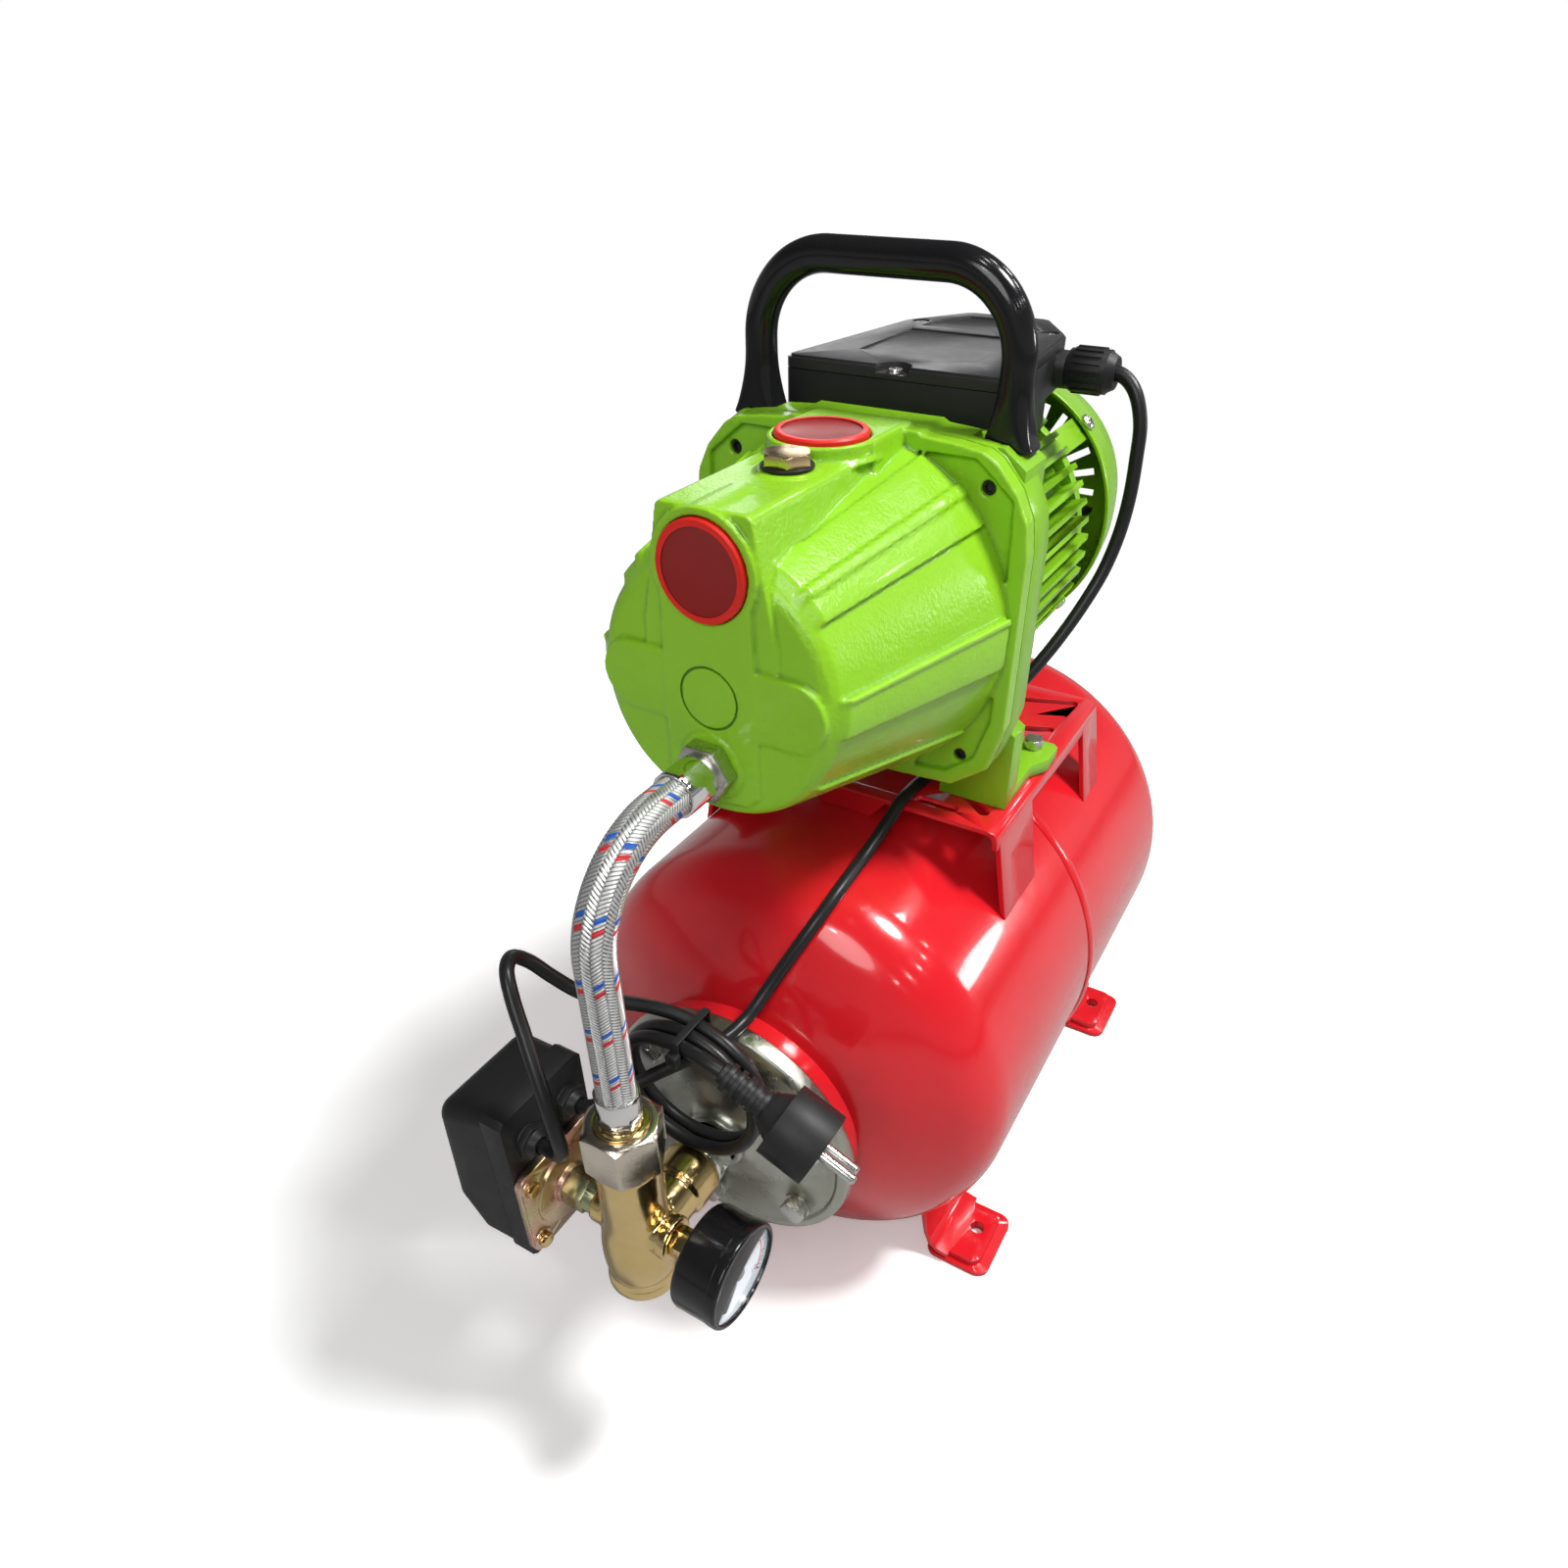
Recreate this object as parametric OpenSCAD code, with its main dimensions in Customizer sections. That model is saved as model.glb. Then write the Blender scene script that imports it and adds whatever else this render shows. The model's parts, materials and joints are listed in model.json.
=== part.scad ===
// Jet pump booster set: a self-priming jet pump and its motor stand on a
// horizontal pressure tank, joined to it by a braided hose and a five-way fitting.
// X points to the right, Y to the motor's fan end, Z up. The origin lies on the
// floor, in the middle of the four foot holes. All sizes are in millimetres.

/* [Tank] */
// Outside radius of the tank
tank_r = 134.5; // [120:0.5:160]
// Length of the tank over both domes
tank_len = 422; // [380:1:500]
// Depth of each dome
dome_depth = 70; // [60:1:80]
// Radius of the knuckle between dome and shell
knuckle_r = 40; // [25:1:50]
// Wall of the tank
tank_wall = 2; // [1.5:0.1:3]
// Clear height under the tank
tank_lift = 15; // [12:0.5:30]
// Radius of the tank flange
flange_r = 76; // [70:0.5:84]
// Depth of the flange's rolled rim
flange_rim = 11; // [9:0.5:14]

/* [Feet] */
// Spacing of the foot holes across the tank
foot_x = 242; // [220:1:290]
// Spacing of the foot holes along the tank
foot_y = 243; // [220:1:290]
// Radius of a foot hole
foot_hole_r = 4.5; // [3:0.25:6]
// Width of a foot along the tank
foot_w = 50; // [40:1:60]
// Thickness of the foot and bracket sheet
sheet_t = 3; // [2:0.5:4]

/* [Pump] */
// Height of the shaft above the bracket plate
shaft_h = 106; // [100:1:120]
// Length of the pump body in front of its flange
pump_len = 117; // [105:1:140]
// Radius of the body at its front face
pump_front_r = 56; // [52:0.5:62]
// Radius of the body at its flange
pump_rear_r = 82; // [78:0.5:84]
// Thickness of the pump flange
pump_flange_t = 10; // [8:0.5:14]
// Radius of the wall of the suction and discharge ports
port_r = 15.15; // [12:0.05:16]
// Depth of those ports
port_depth = 22; // [18:1:26]

/* [Motor] */
// Outside radius over the cooling fins
fin_r = 74; // [70:0.5:80]
// Number of fins in a full ring
fin_count = 48; // [36:4:60]
// Length of the finned motor frame
frame_len = 104; // [90:1:130]
// Length of the fan cover
cover_len = 57; // [48:1:70]
// Radius of the shaft
shaft_r = 7.5; // [6:0.25:9]

/* [Handle] */
// Diameter of the handle's bar
handle_d = 15; // [12:0.5:18]
// Distance between the middles of the handle's legs
handle_w = 126; // [116:1:132]
// Height of the bar's middle above the shaft
handle_h = 144.5; // [135:0.5:170]

/* [Fittings] */
// Distance of the five-way fitting in front of the tank flange
fitting_out = 77; // [72:1:90]
// Size across flats of the union nut
union_af = 34.5; // [33:0.5:38]
// Diameter of the braided hose
hose_d = 18; // [14:0.5:18.5]
// Radius of the gauge case
gauge_r = 26.5; // [22:0.5:32]
// Depth of the gauge case
gauge_depth = 25.5; // [20:0.5:32]

/* [Cords] */
// Diameter of the motor and mains cords
cord_d = 7; // [6:0.5:8]

/* [Hidden] */
$fn = 48;
gap = 0.3;                                   // space between pieces that fit
axis_z = tank_lift + tank_r;                 // tank axis above the floor
tank_y = -8;                                 // middle of the tank, its weld seam
dome_y = tank_len / 2 - dome_depth;          // where a dome starts, from the seam
crown_r = (pow(tank_r - knuckle_r, 2) + pow(dome_depth, 2) - pow(knuckle_r, 2))
    / (2 * (dome_depth - knuckle_r));
seat_y = tank_y - tank_len / 2 + 1;          // where the flange meets the tank
flange_y = seat_y - flange_rim;              // front face of the flange's rim
disc_back = 3;                               // space for the bladder's lip
flange_bolt_r = 60;                          // circle of the flange bolts
flange_bolts_at = [20:60:320];
neck_r = 46;                                 // mouth of the tank under the flange
top_z = axis_z + tank_r + 14;                // top of the bracket plate
plate_x = 90;                                // half width of the bracket plate
plate_y = [-96, 72];                         // front and rear edge of the plate
shaft_z = top_z + shaft_h;
joint_y = -90;                               // where pump flange meets motor bracket
flange_f = joint_y - pump_flange_t;          // front of the pump flange
face_y = flange_f - pump_len;                // front face of the pump body
suction_z = shaft_z + 58;                    // suction port axis
column_z = shaft_z + 87;                     // flat top round the discharge port
front_z = shaft_z + 81;                      // lower top in front of it
outlet_y = flange_f - 27.5;                  // discharge port axis
prime_at = [4, flange_f - 62.5, front_z + 1]; // seat of the priming plug
hose_z = shaft_z - 26;                       // hose port axis
cavity_r = 56;                               // room round the impeller
cap_r = 20.3;                                // radius of a port's snap-in cap
cap_sink = 2.2;                              // depth of its seat in the port's mouth
ear_x = 64;                                  // flange screws, from the shaft
ear_z = 65.5;
ear_sink = 3;                                // depth of the corners inside the rim
ring_t = 18;                                 // thickness of the motor bracket's ring
panel_t = 14;                                // thickness of its foot panel
frame_y = joint_y + ring_t + 9;              // where the finned frame starts
frame_end = frame_y + frame_len;
cover_y = frame_end + 35;                    // front rim of the fan cover
cover_end = cover_y + cover_len;
core_r = fin_r - 12;                         // frame under the fins
bore_r = core_r - 10;                        // bore of the frame
bearing = [17.5, 11];                        // radius and width of a bearing
box_z = [shaft_z + 95, shaft_z + 101];       // split and top of the terminal box
way_y = flange_y - fitting_out;              // axis of the five-way fitting
side_z = axis_z + 14;                        // gauge and switch ports
outlet_z = axis_z - 31;                      // bottom of the five-way fitting
neck_top = axis_z + 78;                      // top of its threaded neck
union_z = [axis_z + 61, axis_z + 88];        // bottom and top of the union nut
hose_bend = 46;                              // bend radius of the hose
gauge_x = 37.5;                              // back of the gauge case
switch_x = -42;                              // front of the switch flange
base_x = switch_x - 7;                       // front of the switch base
gland_z = side_z + 46;                       // axis of the switch glands
gland_y = 14;                                // glands from the switch's middle
motor_gland = [52, 35, shaft_z + 88];        // where the motor cord's gland starts
cord_r = cord_d / 2;
// The motor cord: from its gland, down beside the motor, under the pump, over the
// tank and the flange's rim to the rear gland of the switch.
motor_route = [[72, 35, 492], [77, 35, 492], [82.5, 34, 489.5], [88, 32, 484], [93, 30, 472],
    [95, 27, 456],
    [96, 24, 438], [95, 21, 420], [92, 15, 402], [87, 6, 386], [80, -6, 369], [71, -19, 352],
    [60, -32, 336], [50, -45, 321], [41, -57, 309], [36.5, -69, 302.5], [34.8, -82, 301.9],
    [34.5, -97, 301.9], [33.6, -108, 296.8], [32.1, -121, 290.4],
    [31.3, -134, 286], [31.5, -146, 284.9], [31.6, -158, 283.3], [30.9, -167, 280.5],
    [29.4, -175, 276], [26.9, -182, 270], [23, -189, 261], [19.2, -195, 252.3], [15.8, -200.5, 244.2],
    [13, -207, 237], [11.2, -214, 232], [9.8, -221, 229.8], [8.2, -232, 229.3],
    [4, -245, 229.5], [-2, -257, 228.5], [-10, -268, 226], [-18.5, -278, 221.5], [-27, -286, 216],
    [-33, -290.3, 211.5], [-39, -292, 209.6], [-46, -292, 209.5]];
// Both routes follow the pump and the fittings when those are moved by a changed size.
fit_shift = [0, flange_y + 229, axis_z - 149.5];
function near_fit(p) = max(0, min(1, (-60 - p[1]) / 150));
function near_fins(p) = max(0, min(1, (488 - p[2]) / 25)) * (1 - near_fit(p));
function follow(p) = p + near_fit(p) * fit_shift + (1 - near_fit(p)) * [0, 0, shaft_z - 404]
    + near_fins(p) * [fin_r - 74, 0, 0];
// The mains cord: from the front gland up in a loop beside the switch and down to the coil.
mains_rise = [[-46, -320, 209.5], [-40, -320, 209.5], [-33.5, -321, 210.5], [-26.5, -323, 214.5],
    [-21.5, -325, 222],
    [-20.5, -326, 232], [-24.5, -324, 245], [-33, -319, 259], [-44, -312, 273], [-55, -305, 286],
    [-63, -298, 293.5], [-67.5, -290, 293], [-66.5, -282, 285], [-60, -275.5, 273],
    [-50, -269, 262], [-37, -261, 256], [-21, -252, 252], [-6, -247, 248]];
coil_mid = [0, 208];                         // middle of the coil, X and Z
coil_r = 38;                                 // to the middle of its turns
coil_y = [-246, -262];                       // its first and last turn
coil_turns = 2;
coil_steps = 12;                             // points in a turn
mains_route = concat(mains_rise, [for (i = [1:coil_turns * coil_steps])
    let (a = 90 - 360 * i / coil_steps, t = i / (coil_turns * coil_steps))
    [coil_mid[0] + coil_r * cos(a), coil_y[0] + (coil_y[1] - coil_y[0]) * t,
    coil_mid[1] + coil_r * sin(a)]], [[8, -263.1, 247],
    [16.6, -264.4, 247.7], [22.2, -265, 247.15], [27.25, -265, 245.65]]);
plug_at = [70, -265, 228];                   // middle of the plug's head
plug_tilt = 112.4;                           // its axis, turned down from upright
plug_turn = 45;                              // its pins, turned round that axis
pin_gap = 19;                                // between the pins
boot_len = 47;                               // plug's head to the end of its boot

// ---------- shared shapes ----------
module to_y(p = [0, 0, 0]) { translate(p) rotate([-90, 0, 0]) children(); }
module to_x(p = [0, 0, 0]) { translate(p) rotate([0, 90, 0]) children(); }
// a drawing in X and Z, pulled from y0 to y1
module wall_y(y0, y1) { translate([0, y1, 0]) rotate([90, 0, 0]) linear_extrude(y1 - y0) children(); }
// a drawing in Y and Z, pulled from x0 to x1
module wall_x(x0, x1) { translate([x0, 0, 0]) rotate([90, 0, 90]) linear_extrude(x1 - x0) children(); }
module both_sides() { children(); mirror([1, 0, 0]) children(); }
module rod_y(y0, y1, r, z = 0, x = 0) { to_y([x, y0, z]) cylinder(r = r, h = y1 - y0); }
module rod_x(x0, x1, r, y = 0, z = 0) { to_x([x0, y, z]) cylinder(r = r, h = x1 - x0); }
module hex(af, h) { cylinder(r = af / sqrt(3), h = h, $fn = 6); }
module slot_to(a, b, w, h) { // a round-ended slot from a to b
    l = norm(b - a);
    translate([a[0], a[1], 0]) rotate([0, 0, atan2(b[1] - a[1], b[0] - a[0])]) {
        for (x = [0, l]) translate([x, 0, 0]) cylinder(d = w, h = h);
        translate([0, -w / 2, 0]) cube([l, w, h]);
    }
}
module round_plate(x, y, r, h) { // a plate with round corners, centred
    for (sx = [-1, 1], sy = [-1, 1])
        translate([sx * (x / 2 - r), sy * (y / 2 - r), 0]) cylinder(r = r, h = h);
    translate([-x / 2 + r, -y / 2, 0]) cube([x - 2 * r, y, h]);
    translate([-x / 2, -y / 2 + r, 0]) cube([x, y - 2 * r, h]);
}
module hex_bolt(af, head, d, l) { // washer face down at 0, shank pointing down
    cylinder(r = af / 2, h = 0.6);
    intersection() {
        translate([0, 0, 0.5]) hex(af, head - 0.5);
        cylinder(r1 = af, r2 = af / 2, h = head);
    }
    translate([0, 0, -l]) cylinder(d = d, h = l + 1);
}
function arc(cx, cy, r, a0, a1, n) = [for (i = [0:n])
    let (a = a0 + (a1 - a0) * i / n) [cx + r * cos(a), cy + r * sin(a)]];
function back(v) = [for (i = [len(v) - 1:-1:0]) v[i]];
function both(v) = concat(v, [for (p = back(v)) [-p[0], p[1]]]);

// ---------- tank ----------
// half outline of a dome, as radius and distance from the seam, thinner by t
function dome(t, from_r) = let (
    kr = knuckle_r - t, cr = crown_r - t, kx = tank_r - knuckle_r, cy = dome_y + dome_depth - crown_r,
    join = atan2(dome_y - cy, kx))
    concat(arc(kx, dome_y, kr, 0, join, 8), arc(0, cy, cr, join + 2, acos(from_r / cr), 8));
module shell(mouth, seat, seat_h) { // one half of the tank, opening upwards to its dome
    rotate_extrude($fn = 96) polygon(concat([[tank_r, gap / 2]], dome(0, seat),
        [[seat, seat_h], [mouth, seat_h]], back(dome(tank_wall, mouth)),
        [[tank_r - tank_wall, gap / 2]]));
}
module tank_front_shell() { color("crimson") difference() {
    translate([0, tank_y, axis_z]) rotate([90, 0, 0]) shell(neck_r, flange_r - 5, tank_len / 2 - 1);
    for (a = flange_bolts_at) rod_y(flange_y, seat_y + 30, 4.3,
        axis_z + flange_bolt_r * sin(a), flange_bolt_r * cos(a));
} }
module tank_rear_shell() { color("crimson") translate([0, tank_y, axis_z]) rotate([-90, 0, 0]) {
    shell(6, 20, tank_len / 2 + 1.5);
    rotate_extrude($fn = 96) polygon([[tank_r - 1, 0.5], [tank_r - 1, 4], [tank_r + 0.4, 4],
        [tank_r + 1.3, 2.5], [tank_r + 1.6, 0], [tank_r + 1.3, -2.5], [tank_r + gap, -4],
        [tank_r + gap, 0.5]]); // weld bead over the seam
} }
module tank_bladder() { color("dimgray") difference() {
    to_y([0, seat_y - disc_back, axis_z]) rotate_extrude($fn = 64) polygon([
        [neck_r - 4, 0], [flange_r - 4 - gap, 0], [flange_r - 4 - gap, disc_back],
            [neck_r - 0.5, disc_back],
        [neck_r - 0.5, 16], [60, 24], [90, 56], [104, 108], [104, 230], [92, 288], [60, 328],
        [0, 345], [0, 342], [58.5, 325.5], [89.5, 286.5], [101.5, 229.5], [101.5, 108.5],
        [88, 57.5], [58.5, 26.5], [neck_r - 4, 18]]);
    for (a = flange_bolts_at) rod_y(flange_y, seat_y + 1, 4.3,
        axis_z + flange_bolt_r * sin(a), flange_bolt_r * cos(a));
} }
foot_shift = 4;                                     // the holes lie behind a foot's middle
leg_x = min(0.697 * tank_r, foot_x / 2 - 26);       // where a foot's leg meets the tank
leg_z = axis_z - sqrt(pow(tank_r + gap, 2) - pow(leg_x, 2));
// the leg's curve: shares of its run and rise, and the way its sheet faces
leg_curve = [[0, 0, 0, 1], [0.4, 0.03, 0.25, 0.97], [0.66, 0.12, 0.6, 0.8], [0.8, 0.29, 0.85, 0.5],
    [0.9, 0.52, 0.97, 0.25], [0.97, 0.77, 1, 0.1], [1.02, 1.06, 1, 0]];
module foot(y) { color("crimson") difference() {
    e = foot_x / 2 + 17;
    p = [for (c = leg_curve) [e - 26 + (leg_x - e + 26) * c[0], 8 + (leg_z - 8) * c[1]]];
    q = [for (i = [0:len(p) - 1]) p[i] - sheet_t * [leg_curve[i][2], leg_curve[i][3]]];
    union() {
        wall_y(y - foot_w / 2, y + foot_w / 2) difference() {
            union() {
                intersection() {
                    translate([0, axis_z]) circle(r = tank_r + gap + sheet_t, $fn = 96);
                    translate([1.2 - leg_x, 0]) square([2 * leg_x - 2.4, leg_z]);
                }
                both_sides() polygon(concat(p, back(q)));
            }
            translate([0, axis_z]) circle(r = tank_r + gap, $fn = 96);
        }
        both_sides() translate([e - 21, y, 0]) round_plate(42, foot_w, 8, sheet_t);
        both_sides() translate([e - 23.5, y, 0]) round_plate(34, foot_w - 8, 6, 8);
    }
    both_sides() difference() {
        translate([e - 24, y, -1]) round_plate(27, foot_w - 14, 4, 9 - sheet_t);
        translate([foot_x / 2, y + foot_shift, -2]) cylinder(r = foot_hole_r + 3, h = 12);
    }
    both_sides() translate([foot_x / 2, y + foot_shift, -1]) cylinder(r = foot_hole_r, h = 12);
} }
module foot_front() { foot(-foot_y / 2 - foot_shift); }
module foot_rear() { foot(foot_y / 2 - foot_shift); }
module pump_bracket() { color("crimson") difference() {
    union() {
        wall_y(plate_y[0], plate_y[1]) polygon(both([[0, top_z], [plate_x - 7, top_z],
            [plate_x - 3.2, top_z - 0.9], [plate_x - 0.8, top_z - 3.2], [plate_x, top_z - 7],
            [plate_x, top_z - 11], [plate_x - sheet_t, top_z - 11], [plate_x - sheet_t, top_z - 7],
            [plate_x - 4.2, top_z - 4.2], [plate_x - 7, top_z - sheet_t], [0, top_z - sheet_t]]));
        for (r = [[plate_y[0] + 4, -45], [45, plate_y[1]]]) wall_y(r[0], r[1]) both_sides()
            polygon([[plate_x, top_z - 7], [plate_x + 11, top_z - 68], [plate_x + 8, top_z - 68],
                [plate_x - sheet_t, top_z - 9], [plate_x - sheet_t, top_z - 6]]);
        for (y = [plate_y[0], plate_y[1] - sheet_t]) wall_y(y, y + sheet_t)
            polygon([[-25, top_z - 2], [-11, top_z - 20], [11, top_z - 20], [25, top_z - 2]]);
    }
    rod_y(plate_y[0] - 1, plate_y[1] + 1, tank_r + gap, axis_z, $fn = 96);
    both_sides() translate([0, 0, top_z - 5]) for (s = [[[41, -85], [59, -85]], [[60, -68], [75, -80]],
        [[45, 10], [75, 22]], [[47, 50], [77, 61]]]) slot_to(s[0], s[1], 6.5, 9);
    both_sides() translate([77.5, -15, top_z - 9]) cylinder(r = 3.6, h = 12);
} }
module tank_flange() { color("silver") difference() {
    to_y([0, flange_y, axis_z]) rotate_extrude($fn = 96) polygon([[14, -11], [16.5, -11], [17.5, -10],
        [18.5, -7], [21, -4.5], [26, -2.6], [33, -1.2], [40, 0], [42, 1.2], [69, 1.2], [70.5, 0],
        [73, 0], [75.2, 0.9], [flange_r, 3], [flange_r, flange_rim - 1], [flange_r - 1, flange_rim],
        [flange_r - 4, flange_rim], [flange_r - 4, flange_rim - disc_back], [14, flange_rim - disc_back]]);
    for (a = flange_bolts_at) rod_y(flange_y - 1, seat_y + 1, 4.3,
        axis_z + flange_bolt_r * sin(a), flange_bolt_r * cos(a));
} }
module flange_bolts() { color("gainsboro") for (a = flange_bolts_at)
    translate([flange_bolt_r * cos(a), flange_y + 1.2, axis_z + flange_bolt_r * sin(a)]) rotate([90,
        0, 0]) {
        difference() { cylinder(r = 8, h = 1.4); translate([0, 0, -1]) cylinder(r = 3.9, h = 4); }
        translate([0, 0, 1.4]) rotate([0, 0, a * 3]) hex_bolt(13, 6.5, 7.6, 22);
    }
}
valve_y = tank_y + tank_len / 2 + 1.5;
module air_valve() { color("goldenrod") difference() {
    union() {
        rod_y(valve_y - 14, valve_y + 5, 5.7, axis_z);
        to_y([0, valve_y + gap, axis_z]) hex(15, 3.5);
        rod_y(valve_y, valve_y + 18, 3.9, axis_z);
    }
    rod_y(valve_y - 15, valve_y + 19, 1.6, axis_z);
} }
module valve_cap() { color("black") difference() {
    to_y([0, valve_y + gap, axis_z]) rotate_extrude() polygon([[10, 0], [12.5, 0], [13.5, 1],
        [13.5, 20], [12, 23], [9, 24.5], [0, 25], [0, 22], [10, 22]]);
    for (a = [0:30:330]) translate([13.6 * cos(a), valve_y, axis_z + 13.6 * sin(a)])
        to_y() cylinder(r = 0.9, h = 20, $fn = 12);
} }

// ---------- pump ----------
cone_tilt = atan(7 / pump_len);
cone_len = pump_len / cos(cone_tilt);
function cone_r(t) = pump_rear_r + (pump_front_r - pump_rear_r) * t / cone_len;
module on_cone() { translate([0, flange_f, shaft_z]) rotate([90 - cone_tilt, 0, 0]) children(); }
// a raised strip along the cone, between two angles, raised by h
module strip(a0, a1, h) { on_cone() rotate([0, 0, a0]) rotate_extrude(angle = a1 - a0)
    polygon([[cone_r(3) - 4, 3], [cone_r(3) + h, 3], [cone_r(cone_len - 7) + h, cone_len - 7],
        [cone_r(cone_len - 3) - 1, cone_len - 3], [cone_r(cone_len - 3) - 4, cone_len - 3]]);
}
flange_shape = both([[0, 85], [31, 85], [34, 83.4], [48, 82.4], [62, 80.4], [68, 77], [78, 66],
    [84, 54], [86, 40], [86, -44], [80, -68], [62, -82], [30, -84], [0, -84]]);
module pump_body() { color("yellowgreen") difference() {
    union() {
        intersection() {
            on_cone() translate([0, 0, -8]) rotate_extrude($fn = 72) polygon([[0, 0],
                [cone_r(-8), 0], [cone_r(cone_len - 5), cone_len + 3],
                    [cone_r(cone_len) - 1.6, cone_len + 6.4],
                [cone_r(cone_len) - 5, cone_len + 8], [0, cone_len + 8]]);
            translate([-120, face_y - 1, shaft_z - 120]) cube([240, pump_len + 2, 240]);
        }
        wall_y(face_y, flange_f + 1) polygon(both([[0, front_z], [19.5, front_z], [21.5, front_z - 1.6],
            [31, shaft_z + 32], [31, shaft_z]]));
        wall_y(outlet_y, joint_y) polygon(both([[0, column_z], [23, column_z], [24.2, column_z - 1.2],
            [31, shaft_z + 32], [0, shaft_z + 32]]));
        wall_y(face_y - 2.5, face_y + 20) polygon(both([[0, suction_z + 20], [20, suction_z + 14],
            [22, shaft_z + 12], [22, shaft_z - 36], [17, shaft_z - 42], [0, shaft_z - 44]]));
        both_sides() {
            for (s = [[65, 72, 1.5], [38, 66, 3], [48, 52, 4.5], [-8, 8, 2.5], [7, 9, 3.8], [-36, -34, 2]])
                strip(s[0], s[1], s[2]);
            wall_y(face_y - 2, face_y + 8) {
                translate([39, shaft_z + 6]) circle(r = 15);
                translate([20, shaft_z - 9]) square([19, 30]);
            }
        }
        rod_y(face_y - 2.5, face_y + 30, 24, suction_z);
        translate([0, outlet_y, shaft_z + 40]) cylinder(r = 23.4, h = column_z - shaft_z - 40);
        translate([0, outlet_y, front_z - 2]) cylinder(r1 = 26.6, r2 = 23.4, h = 3);
        translate([prime_at[0], prime_at[1], prime_at[2] - 20]) cylinder(r = 12.9, h = 20);
        translate([prime_at[0], prime_at[1], prime_at[2] - 3]) cylinder(r1 = 15.5, r2 = 12.9, h = 2.4);
        translate([prime_at[0], prime_at[1], prime_at[2] - 12]) cylinder(r1 = 12, r2 = 15.5, h = 9.1);
        rod_y(face_y - 4, face_y + 10, 15, hose_z);
        wall_y(flange_f, joint_y) translate([0, shaft_z]) polygon(flange_shape);
    }
    rod_y(face_y - 5, face_y - 2.5 + port_depth, port_r, suction_z);
    rod_y(face_y - 5, face_y - 2.5 + cap_sink, cap_r + gap, suction_z);
    translate([0, outlet_y, column_z - port_depth]) cylinder(r = port_r, h = port_depth + 5);
    translate([-port_r - 0.5, outlet_y - port_r - 0.5, shaft_z + 30])
        cube([2 * port_r + 1, 2 * port_r + 1, column_z - port_depth - shaft_z - 30]);
    translate([0, outlet_y, column_z - cap_sink]) cylinder(r = cap_r + gap, h = 5);
    translate(prime_at - [0, 0, 16]) cylinder(r = 8.3, h = 30);
    translate([prime_at[0], prime_at[1], shaft_z + 20]) cylinder(r = 5, h = 55);
    rod_y(face_y + 10, face_y + 35, 10, suction_z);
    translate([0, face_y + 27, shaft_z]) cylinder(r = 9, h = suction_z - shaft_z);
    rod_y(face_y + 8, face_y + 44, 15, shaft_z);
    rod_y(face_y + 40, face_y + 60, 9.3, shaft_z);
    to_y([0, face_y + 49, shaft_z]) rotate_extrude() polygon([[0, 0], [42, 0], [cavity_r, 26],
        [cavity_r, 90], [0, 90]]);
    rod_y(face_y - 5, face_y + 12, 8.8, hose_z);
    rod_y(face_y - 5, face_y + 60, 4.5, hose_z);
    both_sides() for (z = [-ear_z, ear_z]) rod_y(flange_f - 9, joint_y + 1, 3.4, shaft_z + z, ear_x);
    wall_y(flange_f - 0.1, flange_f + ear_sink) translate([0, shaft_z]) both_sides() difference() {
        union() { // the corners inside the flange's raised rim
            polygon([[30, 77.5], [58.5, 77.5], [77, 62.5], [78.5, 20], [60, 40]]);
            polygon([[40, -77], [58, -75.5], [72, -64], [78.5, -42], [78.5, -16], [60, -40]]);
        }
        circle(r = pump_rear_r - 0.5, $fn = 96);
    }
    to_y([0, face_y - 2.6, shaft_z + 5]) rotate_extrude() translate([13, 0]) square([1.2, 1]);
} }
module port_cap() { difference() { // a snap-in cover, its back at 0
    rotate_extrude() polygon([[0, 0], [cap_r - 0.5, 0], [cap_r, 0.5], [cap_r, 2.9], [cap_r - 0.7, 3.7],
        [0, 3.7]]);
    translate([0, 0, 3]) cylinder(r = cap_r - 3.1, h = 2);
    translate([0, 0, -1]) cylinder(r = cap_r - 3.5, h = 2.4);
} }
module suction_cap() { color("red")
    translate([0, face_y - 2.5 + cap_sink - gap, suction_z]) rotate([90, 0, 0]) port_cap(); }
module discharge_cap() { color("red")
    translate([0, outlet_y, column_z - cap_sink + gap]) port_cap(); }
module priming_plug() { color("silver") translate(prime_at + [0, 0, gap + 1.4]) {
    intersection() { hex(18, 4.6); cylinder(r1 = 16, r2 = 9.3, h = 4.6); }
    translate([0, 0, -14]) cylinder(r = 8, h = 15);
} }
module priming_washer() { color("black") translate(prime_at + [0, 0, gap])
    rotate_extrude() translate([8.3, 0]) square([2.7, 1.4 - 0.05]); }
module ejector() { color("black") to_y([0, face_y + 12, shaft_z]) rotate_extrude() polygon([
    [5, 0], [8.2, 0], [9, 1.5], [9, 50], [11.7, 56], [11.7, 74], [9, 74], [4, 40], [3.5, 24]]); }
module diffuser() { color("dimgray") difference() {
    union() {
        rod_y(flange_f - 26, flange_f - 22, cavity_r - gap, shaft_z);
        rod_y(flange_f - 27, flange_f - 19, 17, shaft_z);
        for (a = [0:60:300]) translate([0, flange_f - 22.5, shaft_z]) rotate([0, -a, 0])
            translate([26, 0, -1.5]) cube([26, 4, 3]);
    }
    rod_y(flange_f - 40, flange_f, 12, shaft_z);
    for (a = [30:60:330]) rod_y(flange_f - 40, flange_f, 6, shaft_z + 47 * sin(a), 47 * cos(a));
} }
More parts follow.
